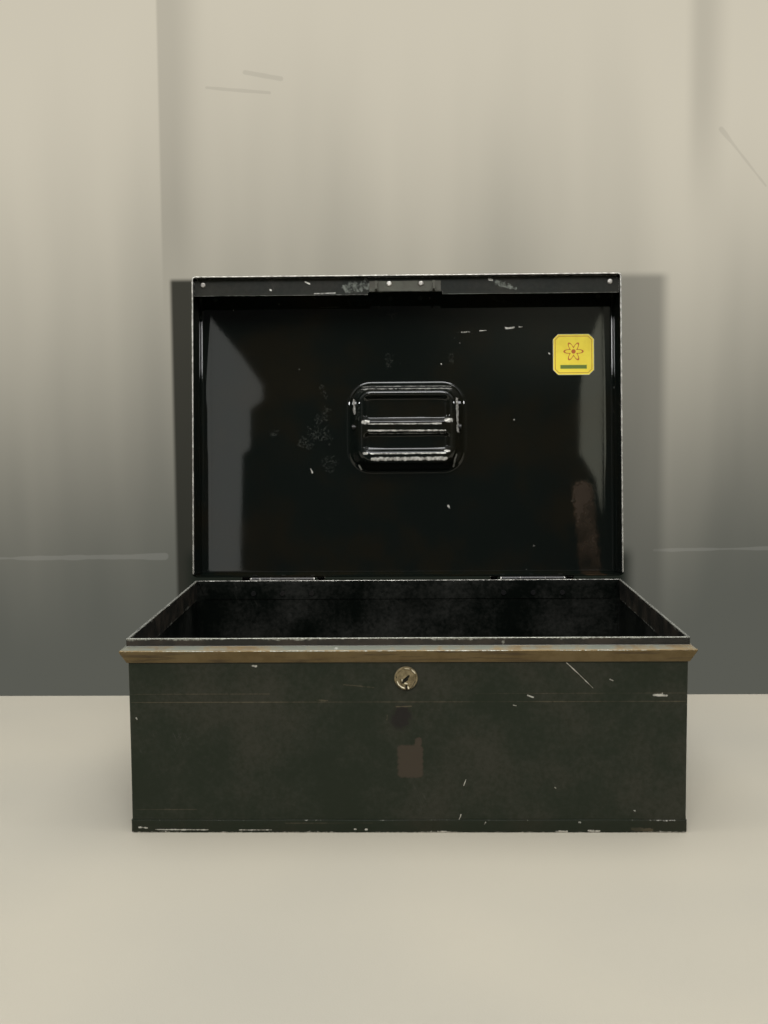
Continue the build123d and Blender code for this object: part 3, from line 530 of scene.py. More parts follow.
# worn edges: paint has gone where the edge value beats a blotchy threshold
worn, given, out = new_group(
    "worn_edge",
    [("Place", "Vector"), ("Edge", "Float"), ("Amount", "Float"), ("Size", "Float")],
    [("Mask", "Float")],
)
coarse = times(noise(given["Place"], 30.0, 3.0), 0.9)
fine = noise(given["Place"], reckon("DIVIDE", 1.0, given["Size"]), 5.0, 0.65)
level = plus(minus(plus(coarse, fine), 0.95), minus(given["Amount"], 1.0))
mask = rise(plus(level, given["Edge"]), 0.42, 0.62)
worn.links.new(times(mask, rise(given["Edge"], 0.02, 0.2)), out["Mask"])

# hair scratches: thin contour lines of a stretched noise, broken up by a second noise
hair_stretch = (260.0, 60.0, 9.0)
hairs, given, out = new_group(
    "hair_scratch", [("Place", "Vector"), ("Turn", "Float"), ("Amount", "Float")], [("Mask", "Float")]
)
turned = wire(
    hairs, "VectorRotate", {"Vector": given["Place"], "Angle": given["Turn"], "Axis": (0.3, 1.0, 0.2)},
    rotation_type="AXIS_ANGLE",
).outputs[0]
lines = noise(combine("MULTIPLY", turned, hair_stretch), 1.0, 1.0)
thin = rise(absolute(minus(lines, 0.5)), 0.012, 0.0)
kept = rise(plus(noise(given["Place"], 22.0, 3.0), times(given["Amount"], 0.3)), 0.62, 0.75)
hairs.links.new(times(thin, kept), out["Mask"])

# chips: small cells of a Voronoi pattern, each with its own size and a jagged outline, where chance
# and the amount let them
jag = (0.0026, 0.0026, 0.0026)
chips, given, out = new_group(
    "chips",
    [("Place", "Vector"), ("Pitch", "Float"), ("Size", "Float"), ("Amount", "Float")],
    [("Mask", "Float")],
)
count = reckon("DIVIDE", 1.0, given["Pitch"])
jagged = combine("MULTIPLY", noise(given["Place"], 1100.0, 3.0, output="Color"), jag)
shifted = combine("ADD", given["Place"], jagged)
cells = wire(chips, "TexVoronoi", {"Vector": shifted, "Scale": count})
chance = wire(chips, "SeparateColor", {0: cells.outputs["Color"]}).outputs
reach = times(reckon("POWER", chance[0], 3.0), times(given["Size"], count))
dots = rise(minus(reach, cells.outputs["Distance"]), -0.02, 0.02)
chosen = rise(plus(chance[1], given["Amount"]), 0.98, 1.0)
chips.links.new(times(dots, chosen), out["Mask"])

# black japan: brittle baked varnish over tinplate, which shows bright where it has worn away
bare_tin = (0.62, 0.605, 0.55)
dull_tin = (0.25, 0.24, 0.21)
rust_brown = (0.085, 0.045, 0.022)
dust_tone = (0.42, 0.40, 0.35)
patch_brown = (0.048, 0.036, 0.025)
spot_black = (0.009, 0.006, 0.007)
old_gold = (0.090, 0.074, 0.045)
scuffed_grey = (0.17, 0.185, 0.16)
powder_grey = (0.36, 0.37, 0.32)
dull_fade = 2.25               # over this many millimetres the gloss goes where a face has been rubbed dull


def japan(name, colour, gloss, second=None, edge_amount=1.0, chip_amount=0.0, hair_amount=0.0, dust=0.3,
          haze=0.5, marks=(), flat=(1.0, 1.0, 1.0), wave=0.15, on_skin=True, shine=0.5, front_only=False,
          dull_behind=None):
    """Black japan of this colour and roughness, with worn edges, chips, hair scratches and dust.
    second is the colour where the skin's tint is 1; on the tray and walls it is painted shade inside the
    box.
    marks lie where the shut place, times flat, comes within their width, and never on the second finish:
    bare or worn metal, rust, a brown patch, a dark spot, a gold line and a powdery smudge; in the lid's
    recess the bare and smudge marks are painted highlights. Behind dull_behind, a y in millimetres, the
    gloss is gone."""
    material, tree, surface = new_material(name)
    if on_skin:
        place = wire(tree, "Attribute", attribute_name="shut").outputs["Vector"]
        edge = wire(tree, "Attribute", attribute_name="edge").outputs["Fac"]
        tint = wire(tree, "Attribute", attribute_name="tint").outputs["Fac"]
        marked_side = minus(1.0, tint)
    else:
        place = wire(tree, "TexCoord").outputs["Object"]
        round_way = wire(tree, "Bevel", {"Radius": 0.6 * millimetre}, samples=4).outputs[0]
        flat_way = wire(tree, "NewGeometry").outputs["True Normal"]
        edge = rise(combine("DOT_PRODUCT", round_way, flat_way, "Value"), 0.995, 0.8)
        tint, marked_side = 0.0, 1.0
    mottle = noise(place, 14.0, 5.0, 0.6)
    fine = noise(place, 260.0, 4.0, 0.7)
    bare = place_group(tree, worn, {
        "Place": place, "Edge": edge, "Amount": edge_amount, "Size": 2.2 * millimetre
    })["Mask"]
    chipped, specks = (
        place_group(tree, chips, {
            "Place": place, "Pitch": pitch * millimetre, "Size": size * millimetre, "Amount": amount
        })["Mask"]
        for pitch, size, amount in ((13, 2.3, chip_amount), (5, 0.8, chip_amount * 1.6))
    )
    hair = most(*(
        place_group(tree, hairs, {"Place": place, "Turn": turn, "Amount": amount})["Mask"]
        for turn, amount in ((0.4, hair_amount), (2.1, hair_amount - 0.1))
    ))
    if front_only:
        marked_side = times(marked_side, rise(coordinates(place)[1], -0.14, -0.1415))
    flattened = combine("MULTIPLY", place, flat)
    kinds = {
        kind: times(marked(flattened, fine, marks, kind), marked_side)
        for kind in ("bare", "rust", "patch", "smudge", "dark", "gold", "worn")
        if any(mark[0] == kind for mark in marks)
    }
    bare = most(bare, kinds.get("bare", 0.0))
    bare = most(bare, times(most(chipped, specks), 0.8))

    brown = tuple(0.75 * a + b for a, b in zip(colour, (0.004, 0.002, 0.0)))
    tone = mixed(rise(mottle, 0.42, 0.66), colour, brown)
    tone = mixed(tint, tone, second or colour)
    dusty = times(rise(times(mottle, plus(fine, 0.5)), 0.35, 0.75), dust)
    tone = mixed(times(dusty, 0.05), tone, dust_tone)
    rough = plus(gloss, times(rise(mottle, 0.35, 0.75), haze * 0.12))
    rough = plus(rough, times(dusty, 0.15))
    if "patch" in kinds:
        tone = mixed(times(kinds["patch"], 0.85), tone, patch_brown)
    if "dark" in kinds:
        tone = mixed(times(kinds["dark"], 0.75), tone, spot_black)
    if "gold" in kinds:
        tone = mixed(times(kinds["gold"], rise(mottle, 0.30, 0.70)), tone, old_gold)
    if dull_behind is not None:
        start, end = dull_behind * millimetre, (dull_behind + dull_fade) * millimetre
        rubbed = rise(coordinates(place)[1], start, end)
        kept_gloss = minus(1.0, times(rubbed, marked_side))
        bare = times(bare, kept_gloss)
        rough = plus(rough, times(minus(1.0, kept_gloss), 0.5))
        shine = times(shine, kept_gloss)
    if "worn" in kinds:
        tone = mixed(times(kinds["worn"], rise(fine, 0.30, 0.75)), tone, scuffed_grey)
    if "smudge" in kinds:
        spread = times(kinds["smudge"], rise(noise(place, 520.0, 5.0, 0.75), 0.46, 0.74))
        tone = mixed(times(spread, 0.11), tone, powder_grey)
        rough = plus(rough, times(kinds["smudge"], 0.04))
    tone = mixed(times(hair, 0.16), tone, dull_tin)
    if "rust" in kinds:
        rusty = times(kinds["rust"], rise(mottle, 0.28, 0.60))
        tone = mixed(times(rusty, 0.28), tone, rust_brown)
        rough = plus(rough, times(rusty, 0.3))
    tone = mixed(bare, tone, mixed(rise(fine, 0.35, 0.65), dull_tin, bare_tin))
    rough = most(plus(rough, times(hair, 0.1)), times(bare, 0.42))

    orange_peel = noise(place, 420.0, 2.0)
    height = minus(plus(times(orange_peel, 0.25), times(fine, 0.15)), times(bare, 1.2))
    bump = wire(tree, "Bump", {"Height": height, "Strength": wave, "Distance": 0.25 * millimetre})
    shader = wire(tree, "BsdfPrincipled", {
        "Base Color": tone,
        "Roughness": rough,
        "Metallic": times(bare, 0.6),
        "Specular IOR Level": shine,
        "Normal": bump.outputs[0],
    })
    tree.links.new(shader.outputs[0], surface)
    return material


tray_high = node_box("base_tray")[1]
tray_half_x, tray_half_y, tray_edge_z = tray_high
tray_corner = 1.9
tray_shares = np.array([0.999, 0.8, 0.6, 0.4, 0.25, 0.12, 0.05])   # rings of the floor, from its middle
tray_flange = 9.0              # the finely divided rim of the floor
fold_round = 0.9
inner_fold_round = 0.6
raw_edge_round = 0.25
# painted shade: the floor's inside takes this share of the darker inner colour, for the shade inside the
# box
floor_inside_shade = 0.59              # how far the floor's inside has the inner colour
box_pattern = loop_pattern(long_run=90, short_run=64, arc=8)


def tray_rows():
    """The tray's section from the middle of its underside, out, up, over the raw edge, down and back in,
    as offsets from its outer face and heights."""
    inwards = tray_shares * -tray_half_y
    under = np.stack([inwards, 0 * inwards], axis=1)
    wall = rounded_line([
        (-tray_flange, 0), (0, 0), (0, tray_edge_z), (-sheet, tray_edge_z), (-sheet, sheet),
        (-tray_flange, sheet),
    ], [fold_round, raw_edge_round, raw_edge_round, inner_fold_round])
    over = np.stack([inwards[::-1], 0 * inwards + sheet], axis=1)
    return np.concatenate([under, divided(wall, 2.5), over])


section = tray_rows()
out, up = section[:, :1], section[:, 1:]
flat_loops = loops(box_pattern, tray_half_x + out, tray_half_y + out, tray_corner + out)
around = flat_loops[..., 0] + 1.7 * flat_loops[..., 1]
height = up + 0 * around
seam_wander = 0.18 * ripple(around, 0 * around, seed=11, wavelength=70) * (height > 0.8 * tray_edge_z)
grid = np.concatenate([flat_loops, (height + seam_wander)[..., None]], axis=-1)
floor_sag = 0.35 * ripple(grid[..., 0], grid[..., 1], seed=12, wavelength=150) * np.clip(-out / 40, 0, 1)
grid[..., 2] += np.where(up > 0.5 * sheet, np.maximum(floor_sag, 0), 0)
edge = 0.62 * near(section, (0, 0), reach=1.1)[:, None] + 0 * height
edge += 0.36 * near(section, (0, tray_edge_z), (-sheet, tray_edge_z), reach=0.7)[:, None]
tint = floor_inside_shade * ((-out > 0.5 * sheet) & (up > 0.5 * sheet)) + 0 * height
outside_black = (0.0100, 0.0150, 0.0078)
# painted shade: the box's inside takes a darker black than its outside
inside_shaded_black = (0.0012, 0.0022, 0.0015)
foot_marks = [
    ("bare", (-186, -143.7, 2.4), (-147, -143.7, 2.2), 0.45, 0.55),
    ("bare", (-124, -143.7, 2.1), (-100, -143.7, 2.1), 0.40, 0.5),
    ("gold", (-90, -143.7, 7.2), (-26, -143.7, 7.3), 0.30, 0.5),
    ("bare", (-39, -143.7, 2.6), (-38, -143.7, 2.6), 0.7, 0.4),
    ("bare", (-31, -143.7, 2.4), (-30, -143.7, 2.4), 0.7, 0.4),
    ("bare", (22, -143.7, 1.0), (28, -143.7, 0.9), 0.5, 0.6),
    ("bare", (56, -143.7, 6.3), (57, -143.7, 7.8), 0.5, 0.6),
    ("bare", (108, -143.7, 1.0), (116, -143.7, 0.9), 0.7, 0.7),
    ("bare", (132, -143.7, 1.4), (140, -143.7, 1.2), 0.8, 0.7),
    ("gold", (164, -143.7, 2.4), (178, -143.7, 2.2), 1.6, 0.7),
    ("bare", (-198, -143.7, 4.2), (-192, -143.7, 3.6), 0.6, 0.8),
]
foot_material = japan("japan_foot", outside_black, 0.30, second=inside_shaded_black, chip_amount=0.03,
                      marks=foot_marks, shine=0.26)
skin("base_tray_folded", grid, "box_body", "base_tray", foot_material,
     wrap_rows=False, poles=True, edge=edge, tint=tint)

# ------------------------------------------------------------------------- body walls
# One long sheet folded round into four walls and lapped at the back near the left corner. Its black
# japan has gone greenish and a little milky, with a thin gold line painted round it below the bead.
walls_low, walls_high = node_box("body_walls")
half_width, half_depth = walls_high[0], -walls_low[1]
wall_top = walls_high[2]
wall_foot = sheet + 0.1
wall_corner = 1.25
calm_foot, calm_top = 12.0, 124.0              # the walls bulge only between these heights
calm_run = 30.0
calm_corner = 40.0
wall_hollow = 0.15             # the walls lie this far inside their straight line
lap_middle, lap_width = -186.0, 9.0

section = divided(np.array([
    (0, wall_foot), (0, wall_top), (-sheet, wall_top), (-sheet, wall_foot)
], float), 7.0)
out, up = section[:, :1], section[:, 1:]
flat_loops = loops(box_pattern, half_width + out, half_depth + out, wall_corner + out * 0.9)
facing = box_pattern[2:].T
height = up + 0 * flat_loops[..., 0]
free = np.clip((height - calm_foot) / calm_run, 0, 1) * np.clip((calm_top - height) / calm_run, 0, 1)
reach_x = np.clip((half_width - np.abs(flat_loops[..., 0])) / calm_corner, 0, 1)
reach_y = np.clip((half_depth - np.abs(flat_loops[..., 1])) / calm_corner, 0, 1)
span = np.where(np.abs(facing[:, 0]) > 0.5, reach_y, reach_x)
around = flat_loops[..., 0] + 0.9 * flat_loops[..., 1]
bulge = 0.45 * ripple(around, height, seed=21, wavelength=190)
bulge += 0.10 * ripple(around, height, seed=22, wavelength=45)
inwards = np.maximum(bulge * free * span, 0) + wall_hollow * free
flat_loops = flat_loops - inwards[..., None] * facing
grid = np.concatenate([flat_loops, height[..., None]], axis=-1)
from_corner = np.hypot(half_width - np.abs(grid[..., 0]), half_depth - np.abs(grid[..., 1]))
edge = 0.5 * np.exp(-((from_corner / 2.0) ** 2))
# the walls' inside faces take the second colour, painted shade inside the box
tint = 1.0 * (out < -0.5 * sheet) + 0 * height
front_marks = [
    *[("patch", (-4.0, 0, z), (8.2, 0, z), 4.2, 0.10) for z in (44.5, 49.0, 53.5, 58.0, 62.0)],
    ("patch", (6.5, 0, 62), (8.5, 0, 69), 3.0, 0.3),
    ("dark", (-5, 0, 84), (-4, 0, 88), 8.5, 0.3),
    ("gold", (-202, 0, 97.5), (202, 0, 97.5), 0.28, 0.5),
    ("gold", (-202, 0, 103.6), (-100, 0, 103.6), 0.16, 0.7),
    ("gold", (50, 0, 103.6), (202, 0, 103.6), 0.16, 0.7),
    ("gold", (-200, 0, 17.3), (-155, 0, 17.3), 0.30, 0.6),
    ("bare", (115.5, 0, 126), (124, 0, 118), 0.42, 0.35),
    ("bare", (124, 0, 118), (134.5, 0, 107.5), 0.28, 0.4),
    ("bare", (178.5, 0, 102.2), (187.5, 0, 101.8), 0.95, 0.45),
    ("bare", (184.5, 0, 102.2), (184.6, 0, 103.6), 0.5, 0.4),
    ("bare", (87.5, 0, 102.2), (91.5, 0, 100.6), 0.6, 0.4),
    ("bare", (146.8, 0, 113.8), (149, 0, 112.8), 0.6, 0.4),
    ("bare", (-112, 0, 124.4), (-109.6, 0, 124.2), 0.8, 0.5),
    ("gold", (-46, 0, 110.4), (-24, 0, 108.2), 0.45, 0.8),
    ("gold", (-66, 0, 99.0), (-58, 0, 98.4), 0.6, 0.8),
    ("gold", (-8, 0, 94.0), (3, 0, 94.2), 0.45, 0.8),
    ("gold", (-14.5, 0, 87.5), (-14.8, 0, 84.0), 0.35, 0.5),
    ("bare", (42.6, 0, 39.5), (41.0, 0, 35), 0.30, 0.4),
    ("bare", (39.0, 0, 13.2), (37.6, 0, 9.5), 0.45, 0.6),
    ("bare", (107.5, 0, 33.6), (108.1, 0, 33.2), 0.6, 0.3),
    ("bare", (77, 0, 95.0), (79, 0, 94.6), 0.4, 0.6),
    ("bare", (-198, 0, 86), (-197.6, 0, 85), 0.6, 0.5),
]
wall_material = japan("japan_walls", outside_black, 0.30, second=inside_shaded_black, edge_amount=0.80,
                      chip_amount=0.008, hair_amount=-0.05, dust=0.8, marks=front_marks, flat=front_view,
                      wave=0.22, shine=0.26, front_only=True)
skin("body_walls_folded", grid, "box_body", "body_walls", wall_material,
     edge=edge, tint=tint)

# the lap's outer layer: a strip up the back wall, its two raw edges a little rounded
rim_foot = node_box("rim_front")[0][2]
lap_half = lap_width / 2
lap_run = rounded_line(
    [(-lap_half, 0), (-lap_half, sheet), (lap_half, sheet), (lap_half, 0)], [raw_edge_round, raw_edge_round]
)
lap_run = divided(lap_run, 1.5)
lap_gap = 0.1                  # clear of the tray's edge and of the rim
lap_heights = divided(np.array([(0, tray_edge_z + lap_gap), (0, rim_foot - lap_gap)], float), 6.0)[:, 1]
across, rising = lap_middle + lap_run[:, 0], lap_heights[:, None]
seam_bow = 0.12 * ripple(rising, 0 * rising, seed=23, wavelength=60)
grid = np.stack([
    across + seam_bow, half_depth + 0.02 + lap_run[:, 1] + 0 * rising, rising + 0 * across
], axis=-1)
edge = 0.55 * near(lap_run, (-lap_half, sheet), (lap_half, sheet), reach=0.6) + 0 * rising
skin("body_lap", grid, "box_body", "body_walls", wall_material,
     wrap_rows=False, poles=True, edge=edge)

# ------------------------------------------------------------------------- rim strips
# Folded tinplate strips hooked over the walls' top edge and soldered. On the front and the sides the
# outer leg is bent out into a hollow three-cornered bead, lacquered gold-brown; the back has none.
rim_top = node_box("rim_front")[1][2]
bead_tip = -node_box("rim_front")[0][1] - half_depth
shoulder_z = 139.2
tip_z = 136.26
inner_cut_top, inner_cut_foot = 2.4, 9.4     # ends of the inner leg, in from the corner
rim_gap = 0.02                 # between the strip and the wall that it is hooked over
rim_foot_out = 0.05

# the strip's section as offsets from the wall's face and heights: up the inner leg, over the top and down
# the outer leg, then back up inside
hook_over = [(-2 * sheet, rim_foot), (-2 * sheet, rim_top), (sheet, rim_top)]
hook_under = [
    (rim_gap, wall_top + rim_gap), (-sheet - rim_gap, wall_top + rim_gap), (-sheet - rim_gap, rim_foot)
]
hook_over_radii = [0.65, 0.6]
hook_under_radii = [0.1, 0.1]
bead_leg = [
    (sheet, shoulder_z), (bead_tip, tip_z), (0.79, rim_foot), (rim_foot_out, rim_foot),
    (bead_tip - 0.9, tip_z), (rim_gap, shoulder_z - 0.35),
]
bead_leg_radii = [0.9, 0.9, 0.2, 0.2, 0.4, 0.5]
plain_leg = [(sheet, rim_foot), (rim_foot_out, rim_foot)]
plain_leg_radii = [0.2, 0.2]

gold_dark = (0.130, 0.090, 0.036)
gold_bright = (0.190, 0.138, 0.066)
gold_streak = (0.075, 0.052, 0.028)
gold_pale = (0.112, 0.124, 0.096)
top_black = (0.010, 0.010, 0.008)
top_brown = (0.026, 0.020, 0.013)
rim_tin_dark = (0.17, 0.17, 0.135)
rim_tin_bright = (0.37, 0.37, 0.32)

gold_material, tree, surface = new_material("gold_lacquer")
place = wire(tree, "Attribute", attribute_name="shut").outputs["Vector"]
edge = wire(tree, "Attribute", attribute_name="edge").outputs["Fac"]
lower = wire(tree, "Attribute", attribute_name="tint").outputs["Fac"]
height = coordinates(place)[2]
mottle = noise(place, 45.0, 5.0, 0.65)
grain = noise(place, 600.0, 3.0, 0.7)
streaked = wire(tree, "Mapping", {"Vector": place, "Scale": (1.0, 1.0, 14.0)}).outputs[0]
gold = mixed(rise(mottle, 0.3, 0.7), gold_dark, gold_bright)
gold = mixed(rise(noise(streaked, 30.0, 4.0), 0.50, 0.78), gold, gold_streak)
# above the bead's tip the tone turns paler and greyer in blotches
above_tip = rise(height, (tip_z + 0.3) * millimetre, (tip_z + 0.9) * millimetre)
pale = times(above_tip, rise(mottle, 0.34, 0.58))
gold = mixed(times(pale, 0.92), gold, gold_pale)
upper = minus(1.0, lower)
tone = mixed(upper, gold, mixed(rise(mottle, 0.4, 0.65), top_black, top_brown))
bare = place_group(tree, worn, {
    "Place": place, "Edge": edge, "Amount": 1.12, "Size": 3.0 * millimetre
})["Mask"]
scraped = place_group(tree, chips, {
    "Place": place, "Pitch": 8 * millimetre, "Size": 3.4 * millimetre, "Amount": 0.08
})["Mask"]
bare = most(bare, times(scraped, 0.7))
tone = mixed(bare, tone, mixed(rise(grain, 0.35, 0.65), rim_tin_dark, rim_tin_bright))
lacquered = times(minus(1.0, upper), minus(0.55, times(pale, 0.25)))
bumps = minus(times(grain, 0.5), times(bare, 0.8))
bump = wire(tree, "Bump", {"Height": bumps, "Strength": 0.3, "Distance": 0.2 * millimetre})
shader = wire(tree, "BsdfPrincipled", {
    "Base Color": tone,
    "Roughness": plus(0.30, times(rise(mottle, 0.3, 0.7), 0.18)),
    "Metallic": most(times(bare, 0.6), lacquered),
    "Normal": bump.outputs[0],
})
tree.links.new(shader.outputs[0], surface)


def rim(name, leg, leg_radii, half_run, half_across, turns, slot, material):
    """A folded section carried along one side: the run is straight, mitred outside and cut on a slant
    inside. turns is how many quarter turns anticlockwise the side lies from the front."""
    radii = hook_over_radii + leg_radii + hook_under_radii
    section = divided(rounded_line(hook_over + leg + hook_under, radii), 4.0)
    out, up = section[:, :1], section[:, 1:]
    slant = (inner_cut_foot - inner_cut_top) * (wall_top - up) / (wall_top - rim_foot)
    on_inner_leg = (out < -sheet - 0.01) & (up < wall_top - 0.1)
    end = np.where(on_inner_leg, half_run - inner_cut_top - slant, half_run + out)
    share = np.linspace(-1, 1, 161)
    run = end * share
    wander = 0.10 * ripple(run, 0 * run, seed=31 + turns, wavelength=60) * (1 - share ** 8)
    across = -(half_across + out + 0 * run)
    lifted = np.minimum(up + wander * (up > rim_foot + 4), rim_top)
    angle = math.radians(90 * turns)
    x = run * math.cos(angle) - across * math.sin(angle)
    y = run * math.sin(angle) + across * math.cos(angle)
    folds = near(section, (-2 * sheet + 0.3, rim_top - 0.2), (sheet - 0.2, rim_top - 0.2), reach=0.46)
    tip = 0.58 * near(section, (bead_tip, tip_z + 0.2), reach=0.6)
    foot = 0.40 * near(section, (-2 * sheet, rim_foot), reach=0.5)
    edge = np.max([folds, tip, foot], axis=0)[:, None] + 0 * run
    if leg is bead_leg:
        tint = np.clip((shoulder_z + 0.3 - up) / 0.5, 0, 1) * (out > 0.6) + 0 * run
    else:
        tint = (out < -sheet) + 0 * run
    skin(name + "_folded", np.stack([x, y, lifted], axis=-1), "box_body", name, material,
         wrap_columns=False, cap=True, edge=edge, tint=tint)


beaded = {"leg": bead_leg, "leg_radii": bead_leg_radii, "slot": "gold_rim", "material": gold_material}
plain = {"leg": plain_leg, "leg_radii": plain_leg_radii, "slot": "black_japan", "material": wall_material}
rim("rim_front", half_run=half_width, half_across=half_depth, turns=0, **beaded)
rim("rim_right", half_run=half_depth, half_across=half_width, turns=1, **beaded)
rim("rim_left", half_run=half_depth, half_across=half_width, turns=3, **beaded)
rim("rim_back", half_run=half_width, half_across=half_depth, turns=2, **plain)

# ------------------------------------------------------------------------- lid
# One sheet pressed and folded into a tray: a recess for the drop handle in the middle with two ribs
# across it, rounded folds to the walls, and a hem turned out round the open edge. The inside is the
# glossiest japan on the box, because it has been shut away from wear.
hinge = next(joint for joint in frame["joints"] if joint["name"] == "lid_hinge")
hinge_middle = np.array(hinge["pos_m"]) / millimetre
hinge_opened = math.radians(hinge["range_deg"][1])


def swung(points):
    """Points of the shut lid turned back about the hinge's axis to the open rest pose."""
    y, z = points[..., 1] - hinge_middle[1], points[..., 2] - hinge_middle[2]
    cosine, sine = math.cos(hinge_opened), math.sin(hinge_opened)
    return np.stack([
        points[..., 0], hinge_middle[1] + y * cosine + z * sine, hinge_middle[2] - y * sine + z * cosine
    ], axis=-1)


lid_half_x = node_box("lid_tray")[1][0] - sheet
lid_front_y, lid_back_y = -145.3, 143.7
lid_middle_y = (lid_front_y + lid_back_y) / 2
lid_half_y = (lid_back_y - lid_front_y) / 2
lid_bottom = 139.1
lid_top = 184.4
back_edge_z = 145.6
lid_fold = 3.4
fold_taper = 0.8               # the corners' radius is this much less than the fold's
least_corner = 0.4
recess_y = -2.8
recess_mouth = (57.5, 44.0, 22.0)              # half lengths and corner radius
recess_floor = (45.5, 34.0, 12.0)
recess_depth = 14.0
recess_start, recess_stop, recess_bend = 1.0, 1.5, 2.6
lip_rings = (0.8, 1.6, 2.4, 3.4, 5.0)          # beyond the mouth
floor_rings, slope_rings, panel_rings, wall_rings = 34, 14, 21, 8
rib_places = [(-18.0, 24.0), (15.4, 18.0)]     # the flat ribs' middles, from the recess's, and lengths
rib_half_width = 41.5
rib_corner = 5.0
rib_depth = 4.0
rib_slope = 1.5
rib_round = 1.5
calm_border = 80.0             # the top's unevenness fades out over this, towards its folds


def eased(x, radius):
    """Zero below, x above, and a parabola of this half-width between: the bend of a folded sheet."""
    return np.where(x < -radius, 0, np.where(x > radius, x, (x + radius) ** 2 / (4 * radius)))


def ramp(x, start, end, radius):
    """Climb from 0 at start to 1 at end, with both bends eased."""
    return (eased(x - start, radius) - eased(x - end, radius)) / (end - start)


def lid_rows(face):
    """Rings of one face of the lid's top from its middle outwards, face being 0 outside and 1 inside: half
    lengths and corner radii, middles, and the last ring's half lengths with what the fold adds to them."""
    floor = np.linspace(0.04, 1, floor_rings)[:, None] * np.array(recess_floor)
    share = np.linspace(0, 1, slope_rings + 1)[1:, None]
    slope = np.array(recess_floor) + (np.array(recess_mouth) - np.array(recess_floor)) * share
    lip = np.array(recess_mouth) + np.array(lip_rings)[:, None]
    share = np.linspace(0, 1, panel_rings + 1)[1:, None]
    inset = lid_fold - face * sheet
    edge_x, edge_y = lid_half_x - face * sheet - inset, lid_half_y - face * sheet - inset
    corner_share = np.minimum(1, 1.15 * share)
    to_edge = np.array([edge_x, edge_y, least_corner]) - lip[-1]
    panel = lip[-1] + to_edge * np.hstack([share, share, corner_share])
    rings = np.concatenate([floor, slope, lip, panel])
    middle = np.full(len(rings), recess_y)
    middle[-panel_rings:] += (lid_middle_y - recess_y) * share[:, 0]
    return rings, middle, edge_x, edge_y, inset


def smooth(x):
    """3x^2 - 2x^3, with x kept between 0 and 1."""
    x = np.clip(x, 0, 1)
    return x ** 2 * (3 - 2 * x)


def lid_face(face):
    """Top and walls of one face: grid of shut points, row by row outwards and down."""
    rings, middle, edge_x, edge_y, inset = lid_rows(face)
    face_top = lid_top - face * sheet
    flat_loops = loops(lid_pattern, rings[:, 0], rings[:, 1], rings[:, 2], middle)
    x, y = flat_loops[..., 0], flat_loops[..., 1]
    # how deep each ring lies in the recess, measured along its short side
    slope_run = recess_mouth[1] - recess_floor[1]
    run = recess_mouth[1] - rings[:, 1:2]
    depth = recess_depth * ramp(run, recess_start, slope_run - recess_stop, recess_bend)
    inside_floor = np.clip(run / slope_run, 0, 1)
    # each rib is a rounded rectangle that climbs by its nearness to its own outline
    rib = np.zeros_like(x)
    for offset, length in rib_places:
        ax = np.abs(x) - (rib_half_width - rib_corner)
        ay = np.abs(y - recess_y - offset) - (length / 2 - rib_corner)
        beyond = np.hypot(np.maximum(ax, 0), np.maximum(ay, 0)) + np.minimum(np.maximum(ax, ay), 0)
        rib += rib_depth * ramp(rib_corner - beyond, 0.0, rib_slope, rib_round)
    calm_x = smooth((edge_x - np.abs(x)) / calm_border)
    calm_y = smooth((edge_y - np.abs(y - lid_middle_y)) / calm_border)
    warp = panel_warp(x, y) * calm_x * calm_y * (1 - inside_floor)
    top = np.stack([x, y, face_top - depth + rib * (inside_floor > 0.9) + warp], axis=-1)
    # fold between the top and the walls: a quarter turn of the radius, then straight down
    walls = []
    for turn in np.linspace(0, math.pi / 2, 7)[1:]:
        out, down = inset * math.sin(turn), inset * (1 - math.cos(turn))
        corner = max(out - fold_taper, least_corner)
        ring = loops(lid_pattern, edge_x + out, edge_y + out, corner, lid_middle_y)[0]
        walls.append(np.concatenate([ring, np.full((len(ring), 1), face_top - down)], axis=1))
    start_z, foot_z = face_top - inset, open_edge + 0.5
    ring = loops(lid_pattern, edge_x + inset, edge_y + inset, inset - fold_taper, lid_middle_y)[0]
    facing = lid_pattern[2:].T
    bow = np.abs(ripple(ring[:, 0], ring[:, 1], seed=41, wavelength=160))[:, None] * facing
    for share in np.linspace(0, 1, wall_rings + 1)[1:]:
        bowed = ring - 0.25 * math.sin(math.pi * share) * bow
        walls.append(np.concatenate([bowed, (start_z + (foot_z - start_z) * share)[:, None]], axis=1))
    return np.concatenate([top, np.array(walls)])


def panel_warp(x, y):
    """Gentle unevenness of the big flat top, which bends what it mirrors."""
    return 0.12 * ripple(x, y, seed=51, wavelength=260) + 0.012 * ripple(x, y, seed=52, wavelength=90)


lid_pattern = loop_pattern(long_run=92, short_run=66, arc=9)
back = np.clip((lid_pattern[3] - 0.2) / 0.6, 0, 1)             # 1 along the back wall, 0 round the rest
open_edge = lid_bottom + (back_edge_z - lid_bottom) * back
outer = lid_face(0)
inner = lid_face(1)

hem_leg = [(0.05, 6.0), (0.45, 6.15), (0.7, 5.7), (0.7, 4.0), (0.7, 2.2), (0.7, 0.9)]     # out and up
hem_turn_steps = 11


